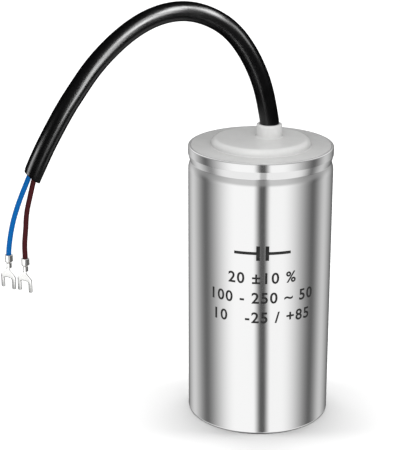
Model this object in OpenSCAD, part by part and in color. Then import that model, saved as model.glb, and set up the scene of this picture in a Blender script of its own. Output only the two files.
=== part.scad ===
// Motor start capacitor: a roll of metallised film, potted in a drawn aluminium can, with a plastic lid
// that the can's rim is rolled over, and a two-core cable that ends in fork terminals.
// Millimetres. The can stands on z = 0 with its axis on Z. The printed side faces -Y.

/* [Can] */
// Outside diameter of the can's wall
can_d = 45; // [40:0.5:55]
// Height of the can, from its base to the top of the lip
can_h = 88; // [70:1:120]
// Sheet thickness of the wall, the rim and the lip
can_wall = 0.6; // [0.4:0.05:0.9]
// Thickness of the base
can_floor = 0.8; // [0.5:0.1:1.5]
// Outside radius of the edge round the base
base_round = 1.6; // [1.2:0.1:3]

/* [Rolled rim] */
// Height of the rim band, from the groove to the top of the lip
rim_h = 2.6; // [2.4:0.1:3.5]
// How far the rim band stands out past the wall
rim_proud = 0.2; // [0:0.05:0.4]
// Outside radius of the lip's edge
lip_round = 0.8; // [0.5:0.1:1.2]
// Width of the lip, from the rim's outside to its inner edge
lip_w = 1.5; // [1.2:0.1:2.5]
// Depth of the groove under the rim
groove_depth = 0.8; // [0.5:0.1:1.4]
// Height of the groove's upper flank
flank_h = 2.4; // [2:0.1:4]
// Height of the rounded shoulder below the groove
shoulder_h = 2.7; // [2:0.1:4]

/* [Lid] */
// Thickness of the flange that the lip holds
flange_t = 1.6; // [1.2:0.1:2.4]
// Diameter of the raised disc at its foot
disc_d = 31; // [24:0.5:34]
// Height of the raised disc above the lip
disc_h = 2.2; // [1.6:0.1:4]
// Radius of the raised disc's edge
disc_round = 2; // [0.5:0.1:2.2]
// Depth of the skirt that centres the lid in the can
skirt_h = 4; // [3:0.5:6]
// Wall of the skirt, and of the raised disc beside its hollow underside
skirt_wall = 1.5; // [1:0.1:2.5]
// Depth of the rubber seal under the flange
seal_h = 2; // [1.5:0.1:2.5]
// Width of the rubber seal at the groove's bottom
seal_w = 0.7; // [0.5:0.1:1.2]

/* [Cable outlet] */
// Distance of the outlet from the can's axis
outlet_offset = 3; // [0:0.5:6]
// Direction of the outlet round the axis, from +X
outlet_angle = 30; // [0:5:90]
// Wall of the collar round the cable
collar_wall = 0.9; // [0.7:0.1:1.6]
// Height of the collar above the raised disc
collar_h = 4; // [2:0.1:6]
// Radius of the collar's upper edge
collar_round = 0.4; // [0.2:0.1:0.6]
// Wall of the boss round the cable, under the lid
boss_wall = 2; // [1.2:0.1:3]
// Depth of the boss below the flange
boss_h = 5; // [3:0.5:8]

/* [Cable] */
// Diameter of the sheath
cable_d = 6; // [5:0.1:7]
// Diameter of an insulated core
core_d = 1.6; // [1.4:0.1:2]
// Diameter of a stripped conductor
conductor_d = 0.7; // [0.5:0.1:1]
// Direction in which the cable leans over, turned from -X to the printed side
cable_heading = 10; // [0:1:30]

/* [Fork terminals] */
// Thickness of the terminal's sheet
sheet_t = 0.4; // [0.3:0.05:0.6]
// Width over the two prongs
fork_w = 5.7; // [5.2:0.1:7]
// Width of the slot
slot_w = 3.2; // [2.6:0.1:3.6]
// Depth of the slot
slot_depth = 3.5; // [3:0.1:6]
// Radius of the corners at the slot's bottom
slot_round = 0.8; // [0.3:0.1:1.2]
// Length over which the sheet widens from the neck to the prongs
flare_len = 1.7; // [1.2:0.1:2.5]
// Radius of the outer corners where the prongs begin
flare_round = 0.8; // [0.3:0.1:1.2]
// Sheet left between the neck and the slot's bottom
web_len = 1.95; // [1.5:0.05:3]
// Radius of the corners on the prongs' tips
tip_round = 0.4; // [0.1:0.05:0.4]
// Length of the grip on the insulation
grip_len = 2; // [1.2:0.1:3]
// Length of the crimp on the conductor
crimp_len = 1.9; // [1.4:0.1:3]
// Space between the grip and the crimp
crimp_gap = 0.5; // [0.5:0.1:1]
// Space between the crimp and the fork
neck_len = 0.8; // [0.5:0.1:1.5]
// Width of the neck
neck_w = 1.3; // [1:0.1:1.6]
// Opening angle of the seam along the grip and the crimp
seam_angle = 30; // [15:5:60]
// Turn of the terminals about their own axes
fork_turn = 35; // [0:5:90]

/* [Film roll] */
// Width of the resin between the wrapped roll and the can
resin_side = 2.35; // [1.5:0.05:4]
// Outside diameter of the tube that the film is wound on
tube_d = 7; // [6:0.5:10]
// Wall of the tube
tube_wall = 1; // [0.6:0.1:1.5]
// How far the tube stands out of the resin
tube_proud = 2; // [1:0.5:4]
// Thickness of the sprayed metal contacts
contact_t = 0.6; // [0.3:0.1:1]
// Bare edge of the roll outside the sprayed metal
contact_margin = 0.4; // [0.2:0.1:1.5]
// Thickness of the film wrapped round the roll
wrap_t = 0.5; // [0.3:0.1:1]
// Thickness of the insulating disc on the can's base
insulator_t = 1; // [0.6:0.1:2]
// Space under the roll, filled with resin
under_roll = 2; // [1.8:0.1:4]
// Cover of resin on the roll
resin_cover = 3; // [2.5:0.5:6]
// Clear height between the lid's boss and the tube
head_space = 7; // [5:0.5:12]
// Height of the solder joints
solder_h = 1.4; // [1.1:0.1:1.6]
// Radius of the solder joint on the upper contact
upper_solder_r = 2; // [1.4:0.1:2.2]
// Width of the lower solder joint on the contact, outside the tube
solder_ring = 1.5; // [1:0.1:3]

/* [Fits] */
// Clearance between pieces that fit together
fit = 0.05; // [0.02:0.01:0.1]

/* [Hidden] */
$fn = 96;

// Overlap of shapes that are joined in one piece
eps = 0.01;

// Radii of the can
can_r = can_d / 2;
can_in = can_r - can_wall;
rim_r = can_r + rim_proud;
rim_in = rim_r - can_wall;
lip_in = rim_r - lip_w;
neck_r = can_r - groove_depth;
shoulder_r = (shoulder_h * shoulder_h + groove_depth * groove_depth) / (2 * groove_depth);
shoulder_in = shoulder_r - can_wall;
neck_in = can_r - shoulder_r + sqrt(shoulder_in * shoulder_in - shoulder_h * shoulder_h);

// Heights of the can
rim_z = can_h - rim_h;
neck_z = rim_z - flank_h;
shoulder_z = neck_z - shoulder_h;

// The lid
land_z = can_h - can_wall;
flange_z = land_z - flange_t;
disc_r = disc_d / 2;
disc_z = can_h + disc_h;
skirt_r = neck_in - seal_w - fit;
recess_r = disc_r - skirt_wall;
bore_d = cable_d + 2 * fit;
collar_d = bore_d + 2 * collar_wall;
boss_d = bore_d + 2 * boss_wall;
boss_z = flange_z - boss_h;
seal_z = flange_z - seal_h;
outlet = [outlet_offset * cos(outlet_angle), outlet_offset * sin(outlet_angle), disc_z + collar_h];

// The film roll and what lies round it
roll_r = can_in - resin_side - wrap_t - fit;
tube_r = tube_d / 2;
tube_in = tube_r - tube_wall;
wrap_r = roll_r + fit + wrap_t;
insulator_r = can_r - base_round - fit;
insulator_z = can_floor + insulator_t;
element_z = insulator_z + under_roll;
tube_top = boss_z - head_space;
resin_top = tube_top - tube_proud;
element_top = resin_top - resin_cover;
roll_z = element_z + contact_t;
roll_top = element_top - contact_t;
lower_solder_r = tube_r + solder_ring;

// The upright plane that the cable lies in: along it, across it and up
along = [-cos(cable_heading), -sin(cable_heading), 0];
up = [0, 0, 1];
across = cross(up, along);
function at(s, q, h) = outlet + s * along + q * across + h * up;
function level(z) = z - outlet.z;
function unit(v) = v / norm(v);

// The sheath's route past the collar, along the plane and up from the outlet
sheath_route = [[0, 0], [0.5, 3.5], [2, 10.5], [4.5, 17.5], [8, 24], [12.5, 29.5], [18.5, 33.5], [25.5, 35.5],
                [32.5, 35], [39, 32.5], [45, 28.5], [50, 24], [54.5, 19], [58.5, 13.5], [62.5, 7.5], [66, 1.5],
                [69.5, -5], [73.5, -13.5]];
// The cores' routes from the sheath's cut end to their terminals
blue_tail = [[75.5, -16], [77, -19.5], [78.5, -23.5], [80, -28.5], [81, -33.5], [81.5, -38]];
brown_tail = [[73.5, -16.5], [74.5, -20.5], [75.5, -25], [76, -30], [76.5, -35], [76.5, -39.5]];

// The sheath and its bore, with the cores side by side in it
cable_sides = 12;
core_sides = 8;
cable_r = cable_d / 2;
core_r = core_d / 2;
conductor_r = conductor_d / 2;
core_side = core_r + fit;
bore_r = (core_d + 2 * fit) / cos(180 / cable_sides);
// How far the sheath hangs below the boss, and the cores run straight below the sheath
sheath_tail = 1;
core_lead = 0.6;
sheath_z = boss_z - sheath_tail;
sheath_path = concat([at(0, 0, level(sheath_z)), at(0, 0, -2)], [for (p = sheath_route) at(p[0], 0, p[1])]);
sheath_dir = directions(sheath_path);

// Where the cores are soldered: blue beside the tube, brown through it on the can's axis
brown_s = -(outlet * along);
brown_q = -(outlet * across);
blue_s = brown_s - tube_r - upper_solder_r - 2 * fit;
// How deep the brown conductor dips into its solder, blue half as deep
conductor_dip = 0.9;
// Bare conductor above the upper solder, and above the roll's lower end
bare_blue = 0.2;
bare_brown = 4;
// How far the blue core stands straight above the resin
blue_upright = 1;
// How far the insulation shows past the grip, and the conductor past the crimp
core_proud = 0.1;
conductor_proud = 0.2;

// Directions of a path at each of its points
function directions(path) =
    [for (i = [0:len(path) - 1]) unit(path[min(i + 1, len(path) - 1)] - path[max(i - 1, 0)])];
// A ring of points round a path's point
function ring(p, d, r, sides) =
    let (n = unit(cross(d, across)), b = cross(d, n))
    [for (i = [0:sides - 1]) p + r * (cos(360 * i / sides) * n + sin(360 * i / sides) * b)];
// The sheath's path, moved to one side in the cable's plane
function beside(offset) =
    [for (i = [0:len(sheath_path) - 1]) sheath_path[i] + offset * unit(cross(sheath_dir[i], across))];
// Faces of the wall between rings, facing out or in
function wall_faces(first, rings, sides, inward) =
    [for (i = [0:rings - 2], j = [0:sides - 1])
        let (a = first + i * sides + j, b = first + i * sides + (j + 1) % sides)
        each inward ? [[a, b, b + sides], [a, b + sides, a + sides]]
                    : [[a, b + sides, b], [a, a + sides, b + sides]]];

// A solid rod through [point, direction, radius] stations
module rod(stations, sides) {
    count = len(stations);
    points = [for (s = stations) each ring(s[0], s[1], s[2], sides)];
    ends = [[for (j = [0:sides - 1]) j], [for (j = [sides - 1:-1:0]) (count - 1) * sides + j]];
    polyhedron(points, concat(wall_faces(0, count, sides, false), ends), convexity = 10);
}

// A tube along a path
module hose(path, dirs, r, hole_r, sides) {
    count = len(path);
    far = (count - 1) * sides;
    inner = count * sides;
    points = concat([for (i = [0:count - 1]) each ring(path[i], dirs[i], r, sides)],
                    [for (i = [0:count - 1]) each ring(path[i], dirs[i], hole_r, sides)]);
    ends = [for (j = [0:sides - 1])
        let (k = (j + 1) % sides)
        each [[j, k, inner + k], [j, inner + k, inner + j],
              [far + j, inner + far + k, far + k], [far + j, inner + far + j, inner + far + k]]];
    polyhedron(points, concat(wall_faces(0, count, sides, false), wall_faces(inner, count, sides, true), ends),
               convexity = 10);
}

// A core with bare conductor at both ends of its path
module core(path) {
    dirs = directions(path);
    last = len(path) - 1;
    rod([for (i = [0:last]) each
            i == 0 || i == last ? [[path[i], dirs[i], conductor_r]]
            : i == 1 ? [[path[i], dirs[i], conductor_r], [path[i], dirs[i], core_r]]
            : i == last - 1 ? [[path[i], dirs[i], core_r], [path[i], dirs[i], conductor_r]]
            : [[path[i], dirs[i], core_r]]],
        core_sides);
}

// The end of a core in its terminal: insulation to just past the grip, then conductor to just past the crimp
function terminal_end(p) =
    [at(p[0], 0, p[1] - grip_len - core_proud),
     at(p[0], 0, p[1] - grip_len - crimp_gap - crimp_len - conductor_proud)];

// A quarter of a disc, its corner at the origin
module quarter(r) {
    intersection() {
        circle(r);
        square(r);
    }
}

// Half of the can's outer form
module can_outside() {
    square([can_r - base_round, can_h - rim_h]);
    translate([can_r - base_round, base_round]) mirror([0, 1]) quarter(base_round);
    translate([0, base_round]) square([can_r, shoulder_z - base_round]);
    intersection() {
        translate([can_r - shoulder_r, shoulder_z]) circle(shoulder_r);
        translate([0, shoulder_z]) square([can_r, shoulder_h]);
    }
    polygon([[0, neck_z], [neck_r, neck_z], [rim_r, rim_z], [0, rim_z]]);
    translate([0, rim_z]) square([rim_r, rim_h - lip_round]);
    translate([0, rim_z]) square([rim_r - lip_round, rim_h]);
    translate([rim_r - lip_round, can_h - lip_round]) quarter(lip_round);
}

// Half of the space inside the can, a little wider than the can's inside by gap where that is negative
module can_inside(gap, top) {
    r = can_in - gap;
    corner = base_round - can_wall;
    translate([0, can_floor]) square([r - corner, top - can_floor]);
    translate([r - corner, can_floor + corner]) mirror([0, 1]) quarter(corner);
    translate([0, can_floor + corner]) square([r, top - can_floor - corner]);
}

module can() {
    color([0.80, 0.81, 0.83])
    rotate_extrude() difference() {
        can_outside();
        can_inside(0, shoulder_z);
        intersection() {
            translate([can_r - shoulder_r, shoulder_z]) circle(shoulder_in);
            translate([0, shoulder_z - eps]) square([can_r, shoulder_h + eps]);
        }
        translate([0, shoulder_z - eps]) square([can_r - shoulder_r, shoulder_h + 2 * eps]);
        polygon([[0, neck_z - eps], [neck_in, neck_z - eps], [neck_in, neck_z], [rim_in, rim_z], [0, rim_z]]);
        translate([0, rim_z - eps]) square([rim_in, land_z - rim_z + eps]);
        translate([0, land_z - eps]) square([lip_in, can_wall + 1]);
    }
}

module lid() {
    color([0.80, 0.80, 0.79])
    difference() {
        union() {
            rotate_extrude() difference() {
                union() {
                    translate([0, flange_z]) square([rim_in - fit, flange_t]);
                    translate([0, flange_z]) square([lip_in - fit, flange_t + can_wall]);
                    translate([0, flange_z]) square([disc_r, disc_z - disc_round - flange_z]);
                    translate([0, flange_z]) square([disc_r - disc_round, disc_z - flange_z]);
                    translate([disc_r - disc_round, disc_z - disc_round]) quarter(disc_round);
                    translate([skirt_r - skirt_wall, flange_z - skirt_h]) square([skirt_wall, skirt_h + eps]);
                }
                translate([0, flange_z - 1]) square([recess_r - disc_round, disc_h + 1]);
            }
            translate([outlet.x, outlet.y, 0]) rotate_extrude() {
                translate([0, disc_z - eps]) square([collar_d / 2, collar_h - collar_round + eps]);
                translate([0, disc_z - eps]) square([collar_d / 2 - collar_round, collar_h + eps]);
                translate([collar_d / 2 - collar_round, outlet.z - collar_round]) quarter(collar_round);
            }
            translate([outlet.x, outlet.y, boss_z]) cylinder(d = boss_d, h = flange_z + disc_h - boss_z + eps);
        }
        translate([outlet.x, outlet.y, boss_z - 1]) cylinder(d = bore_d, h = outlet.z - boss_z + 2);
    }
}

module lid_seal() {
    slope = (rim_in - neck_in) / flank_h;
    seat_r = rim_in - fit - (rim_z - seal_z) * slope;
    color([0.18, 0.18, 0.19])
    rotate_extrude()
        polygon([[skirt_r + fit, seal_z], [seat_r, seal_z], [rim_in - fit, rim_z], [rim_in - fit, flange_z],
                 [skirt_r + fit, flange_z]]);
}

module cable_sheath() {
    color([0.06, 0.06, 0.06]) hose(sheath_path, sheath_dir, cable_r, bore_r, cable_sides);
}

module blue_core() {
    top = level(element_top);
    bend = [at(blue_s, 0, top + conductor_dip / 2), at(blue_s, 0, top + solder_h + bare_blue),
            at(blue_s, 0, level(resin_top) + blue_upright),
            at((blue_s - core_side) / 2, 0, level(tube_top) + head_space / 2),
            at(-core_side, 0, level(sheath_z) - core_lead)];
    tail = [for (p = blue_tail) at(p[0], 0, p[1])];
    color([0.0, 0.40, 0.72])
    core(concat(bend, beside(core_side), tail, terminal_end(blue_tail[len(blue_tail) - 1])));
}

module brown_core() {
    low = level(element_z);
    bend = [at(brown_s, brown_q, low - conductor_dip), at(brown_s, brown_q, low + bare_brown),
            at(brown_s, brown_q, level(tube_top)),
            at((brown_s + core_side) / 2, brown_q / 2, level(tube_top) + head_space / 2),
            at(core_side, 0, level(sheath_z) - core_lead)];
    tail = [for (p = brown_tail) at(p[0], 0, p[1])];
    color([0.27, 0.13, 0.13])
    core(concat(bend, beside(-core_side), tail, terminal_end(brown_tail[len(brown_tail) - 1])));
}

// A rolled band of sheet round the wire, open along its seam
module crimp_ring(r, len) {
    rotate([0, 90, 0]) rotate([0, 0, 180 + seam_angle / 2])
        rotate_extrude(angle = 360 - seam_angle) translate([r, 0]) square([sheet_t, len]);
}

// A cross-section of the terminal's floor strip at x: curl radius and height of the sheet's middle
function strip_section(x, r, z, w, t, steps) =
    let (a = [for (i = [0:steps]) (2 * i / steps - 1) * w / 2 / r * 180 / PI])
    concat([for (i = [0:steps]) [x, (r + t / 2) * sin(a[i]), z + r - (r + t / 2) * cos(a[i])]],
           [for (i = [steps:-1:0]) [x, (r - t / 2) * sin(a[i]), z + r - (r - t / 2) * cos(a[i])]]);

// The floor strip from the grip to the fork, lofted from curled to flat
module floor_strip(grip_r, crimp_r, plate_x) {
    steps = 8;
    flat_r = 20;
    bite = 0.6;
    ease = 0.2;
    thin = 0.9 * sheet_t;
    grip_mid = grip_r + sheet_t / 2;
    crimp_mid = crimp_r + sheet_t / 2;
    crimp_x = grip_len + crimp_gap;
    sections = [[grip_len - bite, grip_mid], [grip_len + ease, grip_mid], [crimp_x - ease / 2, crimp_mid],
                [crimp_x + crimp_len, crimp_mid], [plate_x, flat_r], [plate_x + bite, flat_r]];
    size = 2 * steps + 2;
    points = [for (s = sections)
        each strip_section(s[0], s[1], -min(s[1], crimp_mid) - (s[1] == grip_mid ? grip_mid - crimp_mid : 0),
                           neck_w, thin, steps)];
    count = len(sections);
    far = (count - 1) * size;
    caps = [for (i = [0:steps - 1])
        each [[i, size - 1 - i, size - 2 - i, i + 1],
              [far + i, far + i + 1, far + size - 2 - i, far + size - 1 - i]]];
    polyhedron(points, concat(wall_faces(0, count, size, false), caps), convexity = 10);
}

// One half of the fork's outline: the slanted flare from the neck, its rounded corner and a prong
module half_outline(plate_x, tip_x) {
    half_w = fork_w / 2;
    prong_w = (fork_w - slot_w) / 2;
    foot = [plate_x, neck_w / 2];
    corner = [plate_x + flare_len, half_w - flare_round];
    span = norm(corner - foot);
    rise = atan2(corner.y - foot.y, corner.x - foot.x) + asin(flare_round / span);
    touch = foot + sqrt(span * span - flare_round * flare_round) * [cos(rise), sin(rise)];
    polygon([[foot.x, 0], foot, touch, corner, [corner.x, 0]]);
    translate(corner) circle(flare_round);
    translate([corner.x, 0]) square([tip_x - tip_round - corner.x, half_w]);
    translate([corner.x, half_w - prong_w + tip_round]) square([tip_x - corner.x, prong_w - 2 * tip_round]);
    for (edge = [half_w - prong_w + tip_round, half_w - tip_round])
        translate([tip_x - tip_round, edge]) circle(tip_round);
}

// The fork's slot, with rounded corners at its bottom
module slot_outline(slot_x) {
    inner_w = slot_w - 2 * slot_round;
    translate([slot_x, -inner_w / 2]) square([slot_round + eps, inner_w]);
    translate([slot_x + slot_round, -slot_w / 2]) square([slot_depth, slot_w]);
    for (side = [-1, 1]) translate([slot_x + slot_round, side * inner_w / 2]) circle(slot_round);
}

// One fork terminal, its wire along X from the grip's mouth, the fork's sheet under the wire
module fork() {
    grip_r = core_r + fit;
    crimp_r = conductor_r + fit;
    crimp_x = grip_len + crimp_gap;
    plate_x = crimp_x + crimp_len + neck_len;
    slot_x = plate_x + web_len;
    tab_len = 1;
    tab_bite = 0.1;
    crimp_ring(grip_r, grip_len);
    translate([crimp_x, 0, 0]) crimp_ring(crimp_r, crimp_len);
    floor_strip(grip_r, crimp_r, plate_x);
    translate([0, 0, -crimp_r - sheet_t]) linear_extrude(sheet_t) difference() {
        union() {
            half_outline(plate_x, slot_x + slot_depth);
            mirror([0, 1]) half_outline(plate_x, slot_x + slot_depth);
            translate([plate_x - tab_bite, -neck_w / 2]) square([tab_len, neck_w]);
        }
        slot_outline(slot_x);
    }
}

// Puts a terminal on the end of a core, hanging down with its sheet turned towards the printed side
module hang_fork(p) {
    side = [-cos(fork_turn), sin(fork_turn), 0];
    back = cross(-up, side);
    o = at(p[0], 0, p[1]);
    multmatrix([[0, side.x, back.x, o.x], [0, side.y, back.y, o.y], [-1, side.z, back.z, o.z], [0, 0, 0, 1]])
        fork();
}

module blue_fork() {
    color([0.82, 0.82, 0.80]) hang_fork(blue_tail[len(blue_tail) - 1]);
}

module brown_fork() {
    color([0.82, 0.82, 0.80]) hang_fork(brown_tail[len(brown_tail) - 1]);
}

// A round layer between two radii
module layer(r_in, r_out, z, z_top) {
    rotate_extrude() translate([r_in, z]) square([r_out - r_in, z_top - z]);
}

module winding() {
    color([0.72, 0.73, 0.76]) layer(tube_r + fit, roll_r, roll_z, roll_top);
}

module core_tube() {
    color([0.88, 0.87, 0.82]) layer(tube_in, tube_r, element_z, tube_top);
}

module upper_contact() {
    color([0.62, 0.63, 0.64]) layer(tube_r + fit, roll_r - contact_margin, roll_top, element_top);
}

module lower_contact() {
    color([0.62, 0.63, 0.64]) layer(tube_r + fit, roll_r - contact_margin, element_z, roll_z);
}

// A solder joint: a cone with a bored middle for the conductor
module solder_cone(r, h, grow) {
    cylinder(r1 = r + grow, r2 = r * 0.6 + grow, h = h + grow);
}

module upper_solder() {
    p = at(blue_s, 0, 0);
    color([0.70, 0.71, 0.72])
    translate([p.x, p.y, element_top]) difference() {
        solder_cone(upper_solder_r, solder_h, 0);
        translate([0, 0, conductor_dip / 2]) cylinder(r = conductor_r + fit, h = solder_h);
    }
}

module lower_solder() {
    color([0.70, 0.71, 0.72])
    translate([0, 0, element_z]) mirror([0, 0, 1]) difference() {
        solder_cone(lower_solder_r, solder_h, 0);
        translate([0, 0, -1]) cylinder(r = conductor_r + fit, h = conductor_dip + 1);
    }
}

module outer_wrap() {
    color([0.90, 0.86, 0.72]) layer(roll_r + fit, wrap_r, element_z, element_top);
}

module base_insulator() {
    color([0.75, 0.66, 0.50]) layer(0, insulator_r, can_floor, insulator_z);
}

module potting_resin() {
    p = at(blue_s, 0, 0);
    color([0.45, 0.40, 0.30])
    difference() {
        rotate_extrude() difference() {
            can_inside(fit, resin_top);
            translate([0, can_floor - 1]) square([insulator_r + fit, insulator_t + 1]);
            translate([0, element_z]) square([wrap_r + fit, element_top - element_z]);
            translate([0, element_top - eps]) square([tube_r + fit, resin_top - element_top + 1]);
        }
        translate([0, 0, element_z + eps]) mirror([0, 0, 1]) solder_cone(lower_solder_r, solder_h + eps, fit);
        translate([p.x, p.y, element_top - eps]) solder_cone(upper_solder_r, solder_h + eps, fit);
        translate([p.x, p.y, element_top]) cylinder(r = core_r + fit, h = resin_cover + 1);
    }
}

can();
lid();
lid_seal();
cable_sheath();
blue_core();
brown_core();
blue_fork();
brown_fork();
winding();
core_tube();
upper_contact();
lower_contact();
upper_solder();
lower_solder();
outer_wrap();
base_insulator();
potting_resin();
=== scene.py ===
"""Looks of a motor start capacitor, laid out as an add-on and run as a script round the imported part.

Metres, in the part's own frame: the can stands on z = 0 with its axis on Z, and the printed side faces -Y.
"""

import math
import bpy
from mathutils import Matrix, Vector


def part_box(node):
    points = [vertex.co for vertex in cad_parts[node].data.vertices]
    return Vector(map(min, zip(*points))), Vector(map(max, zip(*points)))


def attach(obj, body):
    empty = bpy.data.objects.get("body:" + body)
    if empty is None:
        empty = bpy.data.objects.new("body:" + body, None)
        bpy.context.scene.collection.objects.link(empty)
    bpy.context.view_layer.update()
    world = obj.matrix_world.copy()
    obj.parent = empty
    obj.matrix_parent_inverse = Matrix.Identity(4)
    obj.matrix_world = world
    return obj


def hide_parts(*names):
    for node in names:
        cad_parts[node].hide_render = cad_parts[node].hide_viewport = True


bl_info = {
    "name": "Motor Start Capacitor",
    "version": (1, 0, 0),
    "blender": (4, 5, 0),
    "location": "View3D > Sidebar > Capacitor",
    "description": "Dresses the packed motor start capacitor and sets it in a studio",
    "category": "Add Mesh",
}

import bmesh
import bpy
import numpy as np
from mathutils import Quaternion, Vector

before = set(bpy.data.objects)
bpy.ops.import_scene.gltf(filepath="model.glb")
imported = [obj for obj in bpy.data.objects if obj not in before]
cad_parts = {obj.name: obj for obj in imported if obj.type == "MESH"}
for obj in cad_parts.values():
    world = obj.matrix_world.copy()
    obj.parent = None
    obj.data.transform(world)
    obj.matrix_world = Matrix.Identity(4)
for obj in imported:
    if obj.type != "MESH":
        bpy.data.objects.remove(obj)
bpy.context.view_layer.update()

MM = 0.001
UP = Vector((0.0, 0.0, 1.0))
ROOT = "root"
# Space between the rings along the sheath and the cores
LINE_STEP = 1.0 * MM
# Nearly all values of a noise lie between these
NOISE = {"From Min": 0.3, "From Max": 0.7}
# A rounded corner of a profile has a step for each angle of this size, and at least so many
STEP_ANGLE = math.radians(7)
MIN_STEPS = 3

# The cable's route past the collar, along its upright plane and up from the outlet, in millimetres
SHEATH_ROUTE = (
    (0, 0), (0.5, 3.5), (2, 10.5), (4.5, 17.5), (8, 24), (12.5, 29.5), (18.5, 33.5), (25.5, 35.5),
    (32.5, 35), (39, 32.5), (45, 28.5), (50, 24), (54.5, 19), (58.5, 13.5), (62.5, 7.5), (66, 1.5),
    (69.5, -5), (73.5, -13.5))
# The cores' routes from the sheath's cut end to their terminals, in the same plane
BLUE_TAIL = ((75.5, -16), (77, -19.5), (78.5, -23.5), (80, -28.5), (81, -33.5), (81.5, -38))
BROWN_TAIL = ((73.5, -16.5), (74.5, -20.5), (75.5, -25), (76, -30), (76.5, -35), (76.5, -39.5))


def linear(hex_colour):
    """An sRGB hex colour as linear RGBA."""
    shares = [int(hex_colour[i:i + 2], 16) / 255 for i in (1, 3, 5)]
    return tuple(s / 12.92 if s <= 0.04045 else ((s + 0.055) / 1.055) ** 2.4 for s in shares) + (1.0,)


def length(label, what, millimetres):
    """A length that a user may change, its default given in millimetres."""
    return bpy.props.FloatProperty(
        name=label, description=what, default=millimetres * MM, min=0.0, precision=5, unit="LENGTH")


def turn(label, what, degrees):
    """An angle that a user may change, its default given in degrees."""
    return bpy.props.FloatProperty(
        name=label, description=what, default=math.radians(degrees), subtype="ANGLE", unit="ROTATION")


def level(label, what, default):
    """A plain strength that a user may change."""
    return bpy.props.FloatProperty(name=label, description=what, default=default, min=0.0)


def colour(label, what, hex_colour):
    """A colour that a user may change, its default given as sRGB hex."""
    return bpy.props.FloatVectorProperty(
        name=label, description=what, default=linear(hex_colour), size=4, min=0.0, max=1.0, subtype="COLOR")


class CanSizes(bpy.types.PropertyGroup):
    """Sizes of the drawn can and its rolled rim."""

    diameter: length("Diameter", "Outside of the wall", 45)
    height: length("Height", "Base to the top of the lip", (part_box("can")[1].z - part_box("can")[0].z) / MM)
    wall: length("Wall", "Sheet of the wall, rim and lip", 0.6)
    floor: length("Base", "Thickness of the base", 0.8)
    base_round: length("Base round", "Outside radius of the edge round the base", 0.6)
    rim_height: length("Rim height", "Groove to the top of the lip", 2.6)
    rim_proud: length("Rim proud", "How far the rim stands out past the wall", 0.05)
    lip_round: length("Lip round", "Outside radius of the lip's edge", 0.4)
    lip_width: length("Lip width", "Rim's outside to the lip's inner edge", 0.8)
    groove_depth: length("Groove depth", "Depth of the groove under the rim", 0.65)
    flank_height: length("Flank height", "Height of the groove's upper flank", 2.4)
    shoulder_height: length("Shoulder height", "Height of the rounded shoulder below the groove", 2.7)
    fold_round: length("Fold round", "Radius of the sheet's folds in the groove and under the rim", 0.3)


class LidSizes(bpy.types.PropertyGroup):
    """Sizes of the moulded lid and its cable outlet."""

    flange: length("Flange", "Thickness of the flange under the lip", 1.6)
    disc_diameter: length("Disc diameter", "Raised disc at its foot", 31)
    disc_height: length("Disc height", "Raised disc above the lip", 2.2)
    disc_round: length("Disc round", "Radius of the raised disc's edge", 1.75)
    disc_foot: length("Disc foot", "Radius at the foot of the raised disc", 0.4)
    foot_round: length("Foot round", "Radius at the foot of the collar and the boss", 0.6)
    edge_round: length("Edge round", "Radius of the moulded edges that meet the can", 0.03)
    skirt_depth: length("Skirt depth", "Depth of the skirt that centres the lid", 4)
    skirt_wall: length("Skirt wall", "Wall of the skirt, and of the disc beside its hollow", 1.5)
    skirt_gap: length("Skirt gap", "Room for the seal between the skirt and the neck", 0.75)
    hollow_diameter: length("Hollow diameter", "Hollow under the raised disc", 24)
    outlet_offset: length("Outlet offset", "Outlet from the can's axis", 3)
    outlet_angle: turn("Outlet angle", "Outlet round the axis, from +X", 30)
    collar_wall: length("Collar wall", "Wall of the collar round the cable", 0.9)
    collar_height: length("Collar height", "Collar above the raised disc", 4)
    collar_round: length("Collar round", "Radius of the collar's upper edge", 0.4)
    boss_wall: length("Boss wall", "Wall of the boss under the lid", 2)
    boss_depth: length("Boss depth", "Boss below the flange", 5)
    fit: length("Fit", "Clearance between pieces that fit together", 0.05)


class CableSizes(bpy.types.PropertyGroup):
    """Sizes of the two-core cable."""

    sheath: length("Sheath", "Diameter of the sheath", 6)
    core: length("Core", "Diameter of an insulated core", 1.6)
    conductor: length("Conductor", "Diameter of the stranded conductor", 0.7)
    bore: length("Bore", "Diameter of the sheath's bore", 3.5)
    cut_round: length("Cut round", "Radius of the sheath's cut edge", 0.25)
    cut_lean: turn("Cut lean", "Lean of the sheath's cut from a square one", 17)
    heading: turn("Heading", "Lean of the cable, turned from -X to the printed side", 10)
    sheath_tail: length("Sheath tail", "Sheath below the lid's boss", 1)
    shown_end: length("Core in the sheath", "Length of each free core that starts inside the sheath", 12)


class TerminalSizes(bpy.types.PropertyGroup):
    """Sizes of the fork terminals."""

    sheet: length("Sheet", "Thickness of the sheet", 0.4)
    width: length("Width", "Width over the two prongs", 5.7)
    slot_width: length("Slot width", "Width of the slot", 3.2)
    slot_depth: length("Slot depth", "Depth of the slot", 3.5)
    slot_round: length("Slot round", "Radius of the corners at the slot's bottom", 0.8)
    flare: length("Flare", "Length over which the sheet widens from the neck to the prongs", 2.3)
    flare_round: length("Flare round", "Radius of the outer corners where the prongs begin", 0.8)
    web: length("Web", "Sheet between the neck and the slot's bottom", 2.55)
    tip_round: length("Tip round", "Radius of the corners on the prongs' tips", 0.4)
    grip: length("Grip", "Length of the grip on the insulation", 2)
    crimp: length("Crimp", "Length of the crimp on the conductor", 1.6)
    gap: length("Gap", "Space between the grip and the crimp", 0.5)
    neck: length("Neck", "Space between the crimp and the fork", 0.5)
    neck_width: length("Neck width", "Width of the neck", 1.3)
    seam: turn("Seam", "Opening angle of the seam along the grip and the crimp", 30)
    lean: turn("Lean", "Turn of the terminals about their own axes", 35)
    edge: length("Edge", "Rounding of the stamped edges", 0.06)


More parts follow.
